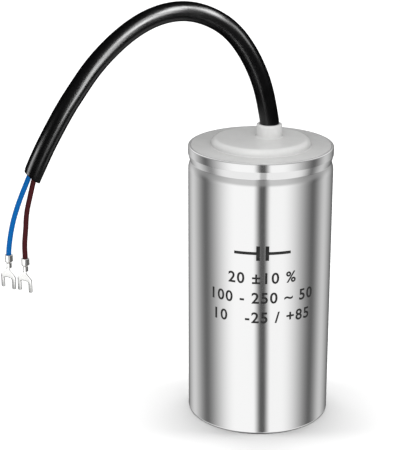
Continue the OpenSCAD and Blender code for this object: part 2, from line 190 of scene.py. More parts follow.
class PrintSizes(bpy.types.PropertyGroup):
    """Sizes of the printed marks."""

    ink: length("Ink", "Thickness of the ink", 0.02)
    slice: length("Slice", "Width of the strips that bend round the can", 0.5)
    symbol_foot: length("Symbol foot", "Height of the printed symbol's foot above the base", 57.8)
    symbol_height: length("Symbol height", "Height of the printed symbol", 4.6)
    symbol_width: length("Symbol width", "Width of the printed symbol with its two leads", 17.5)
    plate: length("Plate", "Width of a plate of the symbol", 1.1)
    plate_gap: length("Plate gap", "Space between the plates of the symbol", 1.7)
    lead: length("Lead", "Width of a lead of the symbol", 0.9)


class Finishes(bpy.types.PropertyGroup):
    """Colours of the pieces that show."""

    aluminium: colour("Aluminium", "Drawn can", "#F5F5F5")
    polypropylene: colour("Polypropylene", "Moulded lid", "#DEDEDD")
    jacket: colour("Jacket", "Sheath of the cable", "#070708")
    blue: colour("Blue", "Insulation of the blue core", "#0064B0")
    brown: colour("Brown", "Insulation of the brown core", "#4B1D20")
    tin: colour("Tin", "Plating of the terminals", "#EFEFED")
    copper: colour("Copper", "Bare strands", "#C98657")
    ink: colour("Ink", "Printed marks", "#0E0E0E")


class Studio(bpy.types.PropertyGroup):
    """Camera and light of the studio view."""

    lens: bpy.props.FloatProperty(
        name="Lens", description="Focal length on a 36 mm sensor", default=113.04, unit="CAMERA")
    eye: bpy.props.FloatVectorProperty(
        name="Eye", description="Place of the camera", default=(-0.01882, -0.42168, 0.20377), subtype="XYZ",
        unit="LENGTH", precision=5)
    tilt: turn("Tilt", "How far the camera looks down", 18.63)
    tent: length("Tent", "Radius of the reflection tent", 1500)
    floor: length("Floor", "Half the floor's side", 3000)
    front: level("Front light", "Soft light from the camera's side", 0.95)
    rear: level("Rear light", "Soft light from behind the object", 0.35)
    cable_lamps: level("Cable lamps", "Share of the brightness listed for each lamp", 1.0)
    terminal_fill: level("Terminal fill", "Brightness of the lamps that the terminals mirror", 0.8)
    lid_fill: level("Lid fill", "Brightness of the lamp in front of the lid", 2.9)
    floor_lamps: level("Floor lamps", "Brightness of the lamps above, which light only the floor", 20.5)


class CapacitorSettings(bpy.types.PropertyGroup):
    """All sizes and colours of the capacitor."""

    can: bpy.props.PointerProperty(type=CanSizes)
    lid: bpy.props.PointerProperty(type=LidSizes)
    cable: bpy.props.PointerProperty(type=CableSizes)
    terminal: bpy.props.PointerProperty(type=TerminalSizes)
    print: bpy.props.PointerProperty(type=PrintSizes)
    finish: bpy.props.PointerProperty(type=Finishes)
    studio: bpy.props.PointerProperty(type=Studio)


def wire(tree, made, inputs):
    """Sets a node's inputs to plain values, or links them to other nodes' results."""
    for socket, value in inputs.items():
        if isinstance(value, bpy.types.NodeSocket):
            tree.links.new(value, made.inputs[socket])
        else:
            made.inputs[socket].default_value = value


def node(tree, kind, inputs=None, **settings):
    """Adds a node with its settings, and sets or links its inputs."""
    made = tree.nodes.new(kind)
    for name, value in settings.items():
        setattr(made, name, value)
    wire(tree, made, inputs or {})
    return made


def start_finish(name, base, values):
    """A new material whose shader has these plain values; returns it, its tree and its shader."""
    made = bpy.data.materials.new(name)
    made.use_nodes = True
    shader = made.node_tree.nodes["Principled BSDF"]
    wire(made.node_tree, shader, {"Base Color": base, **values})
    return made, made.node_tree, shader


def start_glow(name):
    """A new, empty material for a surface that shines but isn't used as a lamp; returns it and its tree."""
    made = bpy.data.materials.new(name)
    made.use_nodes = True
    made.cycles.emission_sampling = "NONE"
    made.node_tree.nodes.clear()
    return made, made.node_tree


def drawn_aluminium(base):
    """Aluminium drawn through a die: a bright mirror, with fine lines along the draw that blur it."""
    made, tree, shader = start_finish("drawn_aluminium", base, {"Metallic": 1.0})
    place = node(tree, "ShaderNodeTexCoord")
    # Die lines lie about 0.1 mm apart; here 0.6 mm apart and 50 mm long, so that they show
    grain = node(tree, "ShaderNodeMapping", {
        "Vector": place.outputs["Object"], "Scale": (1 / (0.6 * MM), 1 / (0.6 * MM), 1 / (50 * MM))})
    lines = node(tree, "ShaderNodeTexNoise", {"Vector": grain.outputs[0], "Scale": 1.0, "Detail": 3.0})
    # Handling leaves faint dull patches about 15 mm across
    haze = node(tree, "ShaderNodeTexNoise", {
        "Vector": place.outputs["Object"], "Scale": 1 / (15 * MM), "Detail": 2.0})
    both = node(tree, "ShaderNodeMath", {0: lines.outputs[0], 1: haze.outputs[0]}, operation="ADD")
    dull = node(tree, "ShaderNodeMapRange", {
        "Value": both.outputs[0], "From Min": 0.7, "From Max": 1.3, "To Min": 0.07, "To Max": 0.11})
    relief = node(tree, "ShaderNodeBump", {
        "Height": lines.outputs[0], "Strength": 0.15, "Distance": 0.002 * MM})
    wire(tree, shader, {"Roughness": dull.outputs[0], "Normal": relief.outputs[0]})
    return made


def moulded_polypropylene(base, thick_to):
    """Natural polypropylene, injection moulded: milky, so edges glow softly, and painted shade greys the thin
    flange.
    """
    made, tree, shader = start_finish("moulded_polypropylene", base, {
        "IOR": 1.49, "Subsurface Weight": 0.3, "Subsurface Radius": (1.0, 1.0, 1.0),
        "Subsurface Scale": 1.2 * MM})
    place = node(tree, "ShaderNodeTexCoord")
    # Melt cools in clouds a few millimetres across
    clouds = node(tree, "ShaderNodeTexNoise", {
        "Vector": place.outputs["Object"], "Scale": 1 / (4 * MM), "Detail": 3.0})
    pale = node(tree, "ShaderNodeMapRange", {
        "Value": clouds.outputs[0], **NOISE, "To Min": 0.96, "To Max": 1.02})
    # Painted shade: past the raised disc the flange is painted up to a tenth darker, standing in for the dark
    # seal seen through it
    outward = node(tree, "ShaderNodeVectorMath", {
        0: place.outputs["Object"], 1: (1.0, 1.0, 0.0)}, operation="MULTIPLY")
    from_axis = node(tree, "ShaderNodeVectorMath", {0: outward.outputs[0]}, operation="LENGTH")
    thin = node(tree, "ShaderNodeMapRange", {
        "Value": from_axis.outputs["Value"], "From Min": thick_to, "From Max": thick_to + 0.5 * MM,
        "To Min": 1.0, "To Max": 0.9})
    shade = node(tree, "ShaderNodeMath", {0: pale.outputs[0], 1: thin.outputs[0]}, operation="MULTIPLY")
    tint = node(tree, "ShaderNodeMix", {
        "Factor": 1.0, "A": base, "B": shade.outputs[0]}, data_type="RGBA", blend_type="MULTIPLY")
    # Spark-eroded mould texture is about 0.05 mm; here 0.5 mm, so that it shows
    spark = node(tree, "ShaderNodeTexNoise", {
        "Vector": place.outputs["Object"], "Scale": 1 / (0.5 * MM), "Detail": 2.0})
    dull = node(tree, "ShaderNodeMapRange", {
        "Value": spark.outputs[0], **NOISE, "To Min": 0.1, "To Max": 0.16})
    relief = node(tree, "ShaderNodeBump", {
        "Height": spark.outputs[0], "Strength": 0.1, "Distance": 0.002 * MM})
    wire(tree, shader, {
        "Base Color": tint.outputs["Result"], "Roughness": dull.outputs[0], "Normal": relief.outputs[0]})
    return made


def extruded_vinyl(name, base, gloss, shine, line):
    """Soft PVC, extruded: an even satin skin with faint lines along it from the die."""
    made, tree, shader = start_finish(name, base, {"IOR": 1.53, "Specular IOR Level": shine})
    place = node(tree, "ShaderNodeTexCoord")
    # The map runs in metres, round the cable and along it; a line is this wide and 20 mm long
    drawn = node(tree, "ShaderNodeMapping", {
        "Vector": place.outputs["UV"], "Scale": (1 / line, 1 / (20 * MM), 1.0)})
    lines = node(tree, "ShaderNodeTexNoise", {"Vector": drawn.outputs[0], "Scale": 1.0, "Detail": 3.0})
    # Chalk from the coil leaves soft patches about 6 mm across
    chalk = node(tree, "ShaderNodeTexNoise", {
        "Vector": place.outputs["Object"], "Scale": 1 / (6 * MM), "Detail": 3.0})
    dull = node(tree, "ShaderNodeMapRange", {
        "Value": chalk.outputs[0], **NOISE, "To Min": gloss, "To Max": gloss + 0.06})
    worn = node(tree, "ShaderNodeMapRange", {
        "Value": lines.outputs[0], **NOISE, "To Min": 0.9, "To Max": 1.1})
    tint = node(tree, "ShaderNodeMix", {
        "Factor": 1.0, "A": base, "B": worn.outputs[0]}, data_type="RGBA", blend_type="MULTIPLY")
    relief = node(tree, "ShaderNodeBump", {
        "Height": lines.outputs[0], "Strength": 0.15, "Distance": 0.006 * MM})
    wire(tree, shader, {
        "Base Color": tint.outputs["Result"], "Roughness": dull.outputs[0], "Normal": relief.outputs[0]})
    return made


def worked_metal(name, base, dull_low, dull_high, mark):
    """Plated or drawn metal: bright, with soft handling marks of this size."""
    made, tree, shader = start_finish(name, base, {"Metallic": 1.0})
    place = node(tree, "ShaderNodeTexCoord")
    marks = node(tree, "ShaderNodeTexNoise", {
        "Vector": place.outputs["Object"], "Scale": 1 / mark, "Detail": 4.0})
    dull = node(tree, "ShaderNodeMapRange", {
        "Value": marks.outputs[0], **NOISE, "To Min": dull_low, "To Max": dull_high})
    relief = node(tree, "ShaderNodeBump", {
        "Height": marks.outputs[0], "Strength": 0.2, "Distance": 0.02 * MM})
    wire(tree, shader, {"Roughness": dull.outputs[0], "Normal": relief.outputs[0]})
    return made


def grained(name, base, metallic, roughness, grain):
    """A cast, sprayed or pressed inner piece: its colour and dullness vary over grains of this size."""
    made, tree, shader = start_finish(name, base, {"Metallic": metallic})
    place = node(tree, "ShaderNodeTexCoord")
    grains = node(tree, "ShaderNodeTexNoise", {
        "Vector": place.outputs["Object"], "Scale": 1 / grain, "Detail": 5.0})
    shade = node(tree, "ShaderNodeMapRange", {
        "Value": grains.outputs[0], **NOISE, "To Min": 0.8, "To Max": 1.1})
    tint = node(tree, "ShaderNodeMix", {
        "Factor": 1.0, "A": base, "B": shade.outputs[0]}, data_type="RGBA", blend_type="MULTIPLY")
    dull = node(tree, "ShaderNodeMapRange", {
        "Value": grains.outputs[0], **NOISE,
        "To Min": roughness - 0.08, "To Max": roughness + 0.08})
    relief = node(tree, "ShaderNodeBump", {
        "Height": grains.outputs[0], "Strength": 0.4, "Distance": 0.1 * grain})
    wire(tree, shader, {
        "Base Color": tint.outputs["Result"], "Roughness": dull.outputs[0], "Normal": relief.outputs[0]})
    return made


def wound_film(base):
    """Metallised film wound into a roll: silvery, with the turns as rings on its ends."""
    made, tree, shader = start_finish("wound_film", base, {"Metallic": 0.6})
    place = node(tree, "ShaderNodeTexCoord")
    # A turn is about 0.01 mm thick; here 0.4 mm, so that it shows
    turns = node(tree, "ShaderNodeTexWave", {
        "Vector": place.outputs["Object"], "Scale": math.pi / 10 / (0.4 * MM), "Distortion": 0.4},
        wave_type="RINGS", rings_direction="Z")
    shade = node(tree, "ShaderNodeMapRange", {"Value": turns.outputs["Fac"], "To Min": 0.75, "To Max": 1.0})
    tint = node(tree, "ShaderNodeMix", {
        "Factor": 1.0, "A": base, "B": shade.outputs[0]}, data_type="RGBA", blend_type="MULTIPLY")
    dull = node(tree, "ShaderNodeMapRange", {"Value": turns.outputs["Fac"], "To Min": 0.25, "To Max": 0.45})
    wire(tree, shader, {"Base Color": tint.outputs["Result"], "Roughness": dull.outputs[0]})
    return made


def pad_ink(base):
    """Ink printed with a pad: black, satin, a little uneven where the pad left it."""
    made, tree, shader = start_finish("pad_ink", base, {"IOR": 1.5})
    place = node(tree, "ShaderNodeTexCoord")
    # Ink draws together in specks about 0.4 mm across
    specks = node(tree, "ShaderNodeTexNoise", {
        "Vector": place.outputs["Object"], "Scale": 1 / (0.4 * MM), "Detail": 3.0})
    dull = node(tree, "ShaderNodeMapRange", {
        "Value": specks.outputs[0], **NOISE, "To Min": 0.45, "To Max": 0.6})
    shade = node(tree, "ShaderNodeMapRange", {
        "Value": specks.outputs[0], "From Min": 0.35, "From Max": 0.75, "To Min": 1.0, "To Max": 1.8})
    tint = node(tree, "ShaderNodeMix", {
        "Factor": 1.0, "A": base, "B": shade.outputs[0]}, data_type="RGBA", blend_type="MULTIPLY")
    wire(tree, shader, {"Base Color": tint.outputs["Result"], "Roughness": dull.outputs[0]})
    return made


def spaced(start, end, steps):
    """Values at even steps from start to end."""
    return [start + (end - start) * i / steps for i in range(steps + 1)]


def arc(centre, radius, start, sweep, steps):
    """Points on an arc, in a plane."""
    angles = spaced(start, start + sweep, steps)
    return [(centre[0] + radius * math.cos(a), centre[1] + radius * math.sin(a)) for a in angles]


def circle(centre, radius, sides):
    """Points round a circle, in a plane."""
    return arc(centre, radius, 0.0, math.tau, sides)[:-1]


def rounded(corners):
    """A profile's points, from corners that are (radius, height, round)."""
    points = [corners[0][:2]]
    for before, here, after in zip(corners, corners[1:], corners[2:]):
        if here[2] == 0.0:
            points.append(here[:2])
            continue
        corner = Vector(here[:2])
        back = (Vector(before[:2]) - corner).normalized()
        ahead = (Vector(after[:2]) - corner).normalized()
        half = back.angle(ahead) / 2
        centre = corner + (back + ahead).normalized() * here[2] / math.sin(half)
        first = corner + back * here[2] / math.tan(half) - centre
        last = corner + ahead * here[2] / math.tan(half) - centre
        sweep = math.atan2(first.x * last.y - first.y * last.x, first.dot(last))
        steps = max(MIN_STEPS, math.ceil(abs(sweep) / STEP_ANGLE))
        points += arc(centre, here[2], math.atan2(first.y, first.x), sweep, steps)
    return points + [corners[-1][:2]]


def skin(bm, low, high):
    """Faces between two rings of vertices, either of which may be a single one."""
    for i in range(max(len(low), len(high))):
        j = i + 1
        corners = (low[i % len(low)], low[j % len(low)], high[j % len(high)], high[i % len(high)])
        bm.faces.new(list(dict.fromkeys(corners)))


def lathe(bm, profile, sides, axis=(0.0, 0.0)):
    """Turns a profile's points about an upright axis, and returns its rings of vertices."""
    rings = []
    for radius, height in profile:
        around = circle(axis, radius, sides if radius > 0.0 else 1)
        rings.append([bm.verts.new((x, y, height)) for x, y in around])
    for low, high in zip(rings, rings[1:]):
        skin(bm, low, high)
    return rings


def smooth_line(points, step):
    """Points about a step apart on one smooth curve through the given ones: a natural cubic spline."""
    knots = np.array([tuple(p) for p in points])
    spans = np.linalg.norm(np.diff(knots, axis=0), axis=1)
    system = np.eye(len(knots))
    pull = np.zeros(knots.shape)
    for i in range(1, len(knots) - 1):
        system[i, i - 1:i + 2] = spans[i - 1], 2 * (spans[i - 1] + spans[i]), spans[i]
        pull[i] = 6 * ((knots[i + 1] - knots[i]) / spans[i] - (knots[i] - knots[i - 1]) / spans[i - 1])
    bend = np.linalg.solve(system, pull)
    line = []
    for i, span in enumerate(spans):
        count = max(1, round(span / step))
        for k in range(count):
            ahead = span * k / count
            left = span - ahead
            curved = (bend[i] * left ** 3 + bend[i + 1] * ahead ** 3) / (6 * span)
            chord = (knots[i] / span - bend[i] * span / 6) * left
            chord += (knots[i + 1] / span - bend[i + 1] * span / 6) * ahead
            line.append(Vector(curved + chord))
    return line + [Vector(knots[-1])]


def stations(line, radius):
    """Stations of a tube along a line: point, direction and radius."""
    last = len(line) - 1
    ways = [(line[min(i + 1, last)] - line[max(i - 1, 0)]).normalized() for i in range(last + 1)]
    return [(p, d, radius) for p, d in zip(line, ways)]


def sweep_tube(bm, path, across, sides, slot=0):
    """Skins rings round stations, with a map in metres round the tube and along it; returns the rings."""
    layer = bm.loops.layers.uv.verify()
    rings = []
    places = []
    travelled = 0.0
    for i, (point, way, radius) in enumerate(path):
        side = way.cross(across).normalized()
        lift = way.cross(side)
        ring = circle((0.0, 0.0), radius, sides)
        rings.append([bm.verts.new(point + x * side + y * lift) for x, y in ring])
        step = (point - path[max(i - 1, 0)][0]).length
        travelled += max(step, abs(radius - path[max(i - 1, 0)][2]))
        places.append(travelled)
    girth = math.tau * max(radius for _, _, radius in path)
    for low, high, start, end in zip(rings, rings[1:], places, places[1:]):
        for k in range(sides):
            j = (k + 1) % sides
            face = bm.faces.new((low[k], low[j], high[j], high[k]))
            face.material_index = slot
            around = (girth * k / sides, girth * (k + 1) / sides)
            spots = ((around[0], start), (around[1], start), (around[1], end), (around[0], end))
            for loop, spot in zip(face.loops, spots):
                loop[layer].uv = spot
    return rings


def close_ends(bm, rings, slot=0):
    """Closes a tube with a face on its first and its last ring."""
    for ring in (rings[0], rings[-1]):
        bm.faces.new(ring).material_index = slot


def put(name, data):
    """A new object in the scene, from its mesh, lamp or camera."""
    made = bpy.data.objects.new(name, data)
    bpy.context.scene.collection.objects.link(made)
    return made


def piece(name, bm, materials, sharp=40):
    """An object from the built mesh, smooth but for edges sharper than this many degrees."""
    bmesh.ops.recalc_face_normals(bm, faces=bm.faces)
    mesh = bpy.data.meshes.new(name)
    bm.to_mesh(mesh)
    bm.free()
    mesh.shade_smooth()
    mesh.set_sharp_from_angle(angle=math.radians(sharp))
    for material in materials:
        mesh.materials.append(material)
    return put(name, mesh)


def dress(made, slot, *nodes, mirrored=True):
    """The piece rides on the part and stands for these solids; the slot given is not used."""
    made.visible_glossy = mirrored
    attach(made, ROOT)
    if nodes:
        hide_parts(*nodes)
    return made


def join(group, made):
    """Adds the piece to one of the studio's groups: what some lamps light, or what throws their shadow."""
    bpy.data.collections[group].objects.link(made)


def keep_from(group, made):
    """Leaves the piece out of those that the studio's light of this group reaches."""
    join(group, made)
    for held in bpy.data.collections[group].collection_objects:
        held.light_linking.link_state = "EXCLUDE"


def show_in_mirrors_only(made):
    """Hides a piece of the stage from everything but reflections."""
    made.visible_camera = False
    made.visible_diffuse = False
    made.visible_transmission = False
    made.visible_shadow = False


class Heights:
    """Heights and radii that several pieces share, worked out from the settings."""

    def __init__(self, settings):
        can = settings.can
        lid = settings.lid
        self.can_r = can.diameter / 2
        self.can_in = self.can_r - can.wall
        self.rim_r = self.can_r + can.rim_proud
        self.rim_in = self.rim_r - can.wall
        self.lip_in = self.rim_r - can.lip_width
        self.neck_r = self.can_r - can.groove_depth
        self.rim_z = can.height - can.rim_height
        self.neck_z = self.rim_z - can.flank_height
        self.shoulder_z = self.neck_z - can.shoulder_height
        self.shoulder_r = (can.shoulder_height ** 2 + can.groove_depth ** 2) / (2 * can.groove_depth)
        self.shoulder_in = self.shoulder_r - can.wall
        reach_in = math.sqrt(self.shoulder_in ** 2 - can.shoulder_height ** 2)
        self.neck_in = self.can_r - self.shoulder_r + reach_in
        self.land_z = can.height - can.wall
        self.flange_z = self.land_z - lid.flange
        self.disc_z = can.height + lid.disc_height
        self.boss_z = self.flange_z - lid.boss_depth
        self.outlet = Vector((
            lid.outlet_offset * math.cos(lid.outlet_angle), lid.outlet_offset * math.sin(lid.outlet_angle),
            self.disc_z + lid.collar_height))
        self.sheath_z = self.boss_z - settings.cable.sheath_tail


class CablePlane:
    """The upright plane that the cable lies in, and the routes of the sheath and the cores in it."""

    # A point of the sheath this far below the collar's mouth keeps it upright there
    UPRIGHT = 2 * MM

    def __init__(self, settings):
        self.heights = Heights(settings)
        self.outlet = self.heights.outlet
        turned = settings.cable.heading
        self.along = Vector((-math.cos(turned), -math.sin(turned), 0.0))
        self.across = UP.cross(self.along)
        self.core_side = settings.cable.core / 2 + settings.lid.fit

    def at(self, reach, rise, aside=0.0):
        """A point in metres: reach along the plane and rise from the outlet, aside across it."""
        return self.outlet + reach * self.along + aside * self.across + rise * UP

    def raised(self, reach, height, aside=0.0):
        """The same, with its height above the base."""
        return self.at(reach, height - self.outlet.z, aside)

    def route(self, points):
        """Route points in millimetres as points in metres."""
        return [self.at(reach * MM, rise * MM) for reach, rise in points]

    def sheath_points(self):
        """The sheath's points, from inside the lid to its cut end."""
        start = [self.raised(0.0, self.heights.sheath_z), self.at(0.0, -self.UPRIGHT)]
        return start + self.route(SHEATH_ROUTE)

    def core_points(self, side, tail, start):
        """A core's points: from its solder joint, through the sheath beside its middle, to its terminal."""
        path = stations(self.sheath_points(), 0.0)
        inside = [p + side * way.cross(self.across).normalized() for p, way, _ in path]
        return start + inside + self.route(tail)


class CAPACITOR_OT_stage(bpy.types.Operator):
    """Sets the camera, the pale floor and the soft light"""

    bl_idname = "capacitor.stage"
    bl_label = "Studio"

    # The camera's sensor in millimetres across, and the nearest and farthest that it sees
    SENSOR = 36.0
    CLIP = (0.01, 20.0)
    # The floor's colour, and how far it lies below the can, so that their faces don't meet
    FLOOR_COLOUR = "#C8C8C8"
    FLOOR_DROP = 0.02 * MM
    # Lamps of the floor: how far behind the can's axis, width, depth and share of the brightness. The floor
    # is darker than white only where the can hides part of both
    FLOOR_LAMPS = ((0.16, 5.0, 0.64, 1.0), (1.32, 2.4, 0.88, 0.73))
    # How far to the side and how high they hang
    FLOOR_LAMP_X = -0.02
    FLOOR_LAMP_Z = 4.0
    # Height of the tent's middle, and its segments round and up
    TENT_Z = 50 * MM
    TENT_SEGMENTS = (64, 32)
    # Panels round the object: azimuths in degrees from the camera, clockwise from above, where a panel
    # begins, is full, is still full and ends, and its brightness
    PANELS = (
        (-104, -41, -14, -1, 0.91),
        (3, 15, 30, 93, 0.89),
        (-182, -128, -141, -93, 0.6),
        (85, 125, 108, 166, 0.58),
    )
    # Brightness of the gaps between the panels, and how far the panels lean below an elevation in degrees, in
    # degrees for each degree of height
    DARK = 0.1
    LEAN = 0.32
    LEAN_FROM = -16
    # Elevations in degrees where the panels begin, are full, are still full and are down to their upper share
    PANEL_BAND = (-41, -33, -8, 10)
    UPPER = 0.4
    # Brightness of the floor below the panels, the elevations where it ends under the object, the azimuths
    # where it ends behind, and its share left past both
    GLOW = 0.9
    GLOW_END = (-80, -70)
    GLOW_BEHIND = (135, 160)
    GLOW_LEFT = 0.1
    # A dip in that brightness down the middle: its share left, and how far to the side its middle and its
    # edges lie, in degrees
    GLOW_GAP = 0.55
    GLOW_GAP_AT = 2
    GLOW_GAP_EDGES = (3, 6)
    # Brightness of the ceiling all round, what the backdrop adds to it behind, and the azimuths and the
    # elevations over which the backdrop comes in
    CEILING = 0.2
    BACKDROP = 0.5
    BACKDROP_SIDES = (90, 150)
    BACKDROP_RISE = (14, 23)
    # Lamps of the cable's highlight: the share of its length and of its half-width where the cable mirrors
    # the lamp to the camera, the lamp's distance, its width as a share of that, and its brightness
    CABLE_LAMPS = (
        (0.26, 0.55, 0.2, 0.4, 2.5), (0.34, 0.34, 0.2, 0.4, 2.5), (0.34, 0.58, 0.06, 0.4, 3.6),
        (0.34, 0.46, 0.06, 0.4, 7.2), (0.385, 0.43, 0.06, 0.4, 3.7), (0.42, 0.37, 0.06, 0.4, 6.2),
        (0.44, 0.2, 0.06, 0.4, 9.0), (0.48, -0.02, 0.06, 0.4, 4.6), (0.5, 0.19, 0.06, 0.4, 2.7),
        (0.54, 0.0, 0.06, 0.4, 6.2), (0.62, -0.13, 0.06, 0.4, 5.2), (0.7, -0.28, 0.06, 0.4, 5.6),
        (0.85, -0.3, 0.06, 0.4, 0.9), (0.97, 0.5, 0.06, 0.4, 1.1), (0.97, 0.6, 0.06, 0.4, 2.4),
    )
    # How wide these lamps shine, so that one leg of the arch doesn't mirror the other leg's lamps
    CABLE_SPREAD = math.radians(120)
    # Distance, width and brightness of the lamp straight behind the cable, which gives its far side a sheen
    BACK_LAMP = (0.25, 0.15, 1.6)
    # Lamps that the terminals mirror: where they stand and aim, their width, and the height of each
    FORK_LAMP_AT = (-0.1185, -0.0417)
    FORK_LAMP_AIM = (-0.0775, -0.013)
    FORK_LAMP_WIDTH = 0.08
    FORK_LAMP_HEIGHTS = (("blue_fork", 0.068), ("brown_fork", 0.0646))
    # The lamp in front of the lid: where it stands and aims, and its width
    LID_LAMP_AT = (0.0, -0.08, 0.15)
    LID_LAMP_AIM = (0.0, 0.0, 0.09)
    LID_LAMP_WIDTH = 0.06
    # The grey card beside the terminals: its two upright edges, its foot and top, and its brightness
    CARD_EDGES = ((-0.0587, -0.0483), (-0.0529, 0.0042))
    CARD_BAND = (0.025, 0.075)
    CARD_GREY = 0.14

    def execute(self, context):
        scene = context.scene
        settings = scene.capacitor
        studio = settings.studio
        scene.view_settings.view_transform = "Standard"
        self.camera(scene, studio)
        self.world(scene, studio)
        self.floor(studio)
        self.tent(studio)
        self.cable_lamps(settings)
        self.fills(studio)
        self.card()
        return {"FINISHED"}

    def camera(self, scene, studio):
        """The camera at the photograph's angle."""
        data = bpy.data.cameras.new("camera")
        data.lens = studio.lens
        data.sensor_width = self.SENSOR
        data.clip_start, data.clip_end = self.CLIP
        eye = put("camera", data)
        eye.location = studio.eye
        eye.rotation_euler = (math.pi / 2 - studio.tilt, 0.0, 0.0)
        scene.camera = eye

    def world(self, scene, studio):
        """White behind everything, and soft light that is stronger from the camera's side."""
        world = bpy.data.worlds.new("studio")
        world.use_nodes = True
        tree = world.node_tree
        tree.nodes.clear()
        place = node(tree, "ShaderNodeTexCoord")
        axes = node(tree, "ShaderNodeSeparateXYZ", {0: place.outputs["Generated"]})
        soft = node(tree, "ShaderNodeMapRange", {
            "Value": axes.outputs["Y"], "From Min": -1.0, "From Max": 1.0,
            "To Min": studio.front, "To Max": studio.rear})
        plain = (1.0, 1.0, 1.0, 1.0)
        light = node(tree, "ShaderNodeBackground", {"Color": plain, "Strength": soft.outputs[0]})
        white = node(tree, "ShaderNodeBackground", {"Color": plain, "Strength": 1.0})
        ray = node(tree, "ShaderNodeLightPath")
        seen = node(tree, "ShaderNodeMath", {
            0: ray.outputs["Is Camera Ray"], 1: ray.outputs["Is Glossy Ray"]}, operation="MAXIMUM")
        shown = node(tree, "ShaderNodeMath", {
            0: seen.outputs[0], 1: ray.outputs["Is Transmission Ray"]}, operation="MAXIMUM")
        mixed = node(tree, "ShaderNodeMixShader", {
            0: shown.outputs[0], 1: light.outputs[0], 2: white.outputs[0]})
        node(tree, "ShaderNodeOutputWorld", {"Surface": mixed.outputs[0]})
        scene.world = world

    def floor(self, studio):
        """A pale floor that its own lamps, high above, light to white outside the object's soft shadow."""
        paint = start_finish("studio_floor", linear(self.FLOOR_COLOUR), {
            "Roughness": 0.9, "Specular IOR Level": 0.0})[0]
        half = studio.floor
        bm = bmesh.new()
        corners = ((-half, -half), (half, -half), (half, half), (-half, half))
        bm.faces.new([bm.verts.new((x, y, 0.0)) for x, y in corners])
        ground = piece("studio_floor", bm, [paint])
        ground.location.z = -self.FLOOR_DROP
        ground.visible_glossy = False
        # The can and the lid throw these lamps' shadows; the thin cable's would be a streak across the floor
        blockers = bpy.data.collections.new("floor_shadow")
        for behind, width, depth, share in self.FLOOR_LAMPS:
            above = Vector((self.FLOOR_LAMP_X, behind, self.FLOOR_LAMP_Z))
            aim = Vector((above.x, 0.0, 0.0))
            lamp = self.softbox("floor_lamps", above, aim, width, share * studio.floor_lamps, depth)
            lamp.light_linking.blocker_collection = blockers
        join("floor_lamps", ground)

    def tent_steps(self):
        """The tent's brightness in the direction X, Y and Z, worked out in steps that each name their result.

        A FADE goes smoothly from its fourth value to its fifth, while its first goes from the second to the
        third, which are in degrees. Any other step is an operation of the Math node on numbers and earlier
        results.
        """
        begin, full, still, end = self.PANEL_BAND
        steps = [
            ("front", "MULTIPLY", "Y", -1.0),
            ("azimuth", "ARCTAN2", "X", "front"),
            ("elevation", "ARCSINE", "Z"),
            ("height", "SUBTRACT", "elevation", math.radians(self.LEAN_FROM)),
            ("low", "MINIMUM", "height", 0.0),
            ("lean", "MULTIPLY", "low", self.LEAN),
            ("leaning", "ADD", "azimuth", "lean"),
        ]
        total = self.DARK
        for panel_begin, panel_full, panel_still, panel_end, bright in self.PANELS:
            steps += [
                ("opening", "FADE", "leaning", panel_begin, panel_full, 0.0, bright),
                ("closing", "FADE", "leaning", panel_still, panel_end, 1.0, 0.0),
                ("panel", "MULTIPLY", "opening", "closing"),
                ("panels", "ADD", "panel", total),
            ]
            total = "panels"
        return steps + [
            ("raised", "FADE", "elevation", still, end, 0.0, 1.0),
            ("lost", "MULTIPLY", "raised", self.UPPER - 1.0),
            ("upper", "ADD", "lost", 1.0),
            ("lower", "FADE", "elevation", begin, full, 0.0, 1.0),
            ("band", "MULTIPLY", "lower", "upper"),
            ("middle", "MULTIPLY", total, "band"),
            ("behind", "ABSOLUTE", "azimuth"),
            ("glow_top", "FADE", "elevation", begin, full, self.GLOW, 0.0),
            ("glow_foot", "FADE", "elevation", *self.GLOW_END, self.GLOW_LEFT, 1.0),
            ("glow", "MULTIPLY", "glow_top", "glow_foot"),
            ("glow_back", "FADE", "behind", *self.GLOW_BEHIND, 1.0, self.GLOW_LEFT),
            ("glow", "MULTIPLY", "glow", "glow_back"),
            ("off_gap", "SUBTRACT", "X", math.radians(self.GLOW_GAP_AT)),
            ("aside", "ABSOLUTE", "off_gap"),
            ("gap", "FADE", "aside", *self.GLOW_GAP_EDGES, self.GLOW_GAP, 1.0),
            ("glow", "MULTIPLY", "glow", "gap"),
            ("rear", "FADE", "behind", *self.BACKDROP_SIDES, 0.0, self.BACKDROP),
            ("rise", "FADE", "elevation", *self.BACKDROP_RISE, 0.0, 1.0),
            ("backdrop", "MULTIPLY", "rear", "rise"),
            ("ceiling", "MULTIPLY", "raised", self.CEILING),
            ("above", "ADD", "ceiling", "backdrop"),
            ("below", "ADD", "middle", "glow"),
            ("bright", "ADD", "below", "above"),
            # The floor doesn't see the tent in the bright can, so the shadow by the can's foot stays dark
            ("first", "LESS_THAN", "Diffuse Depth", 0.5),
            ("shown", "MULTIPLY", "bright", "first"),
        ]

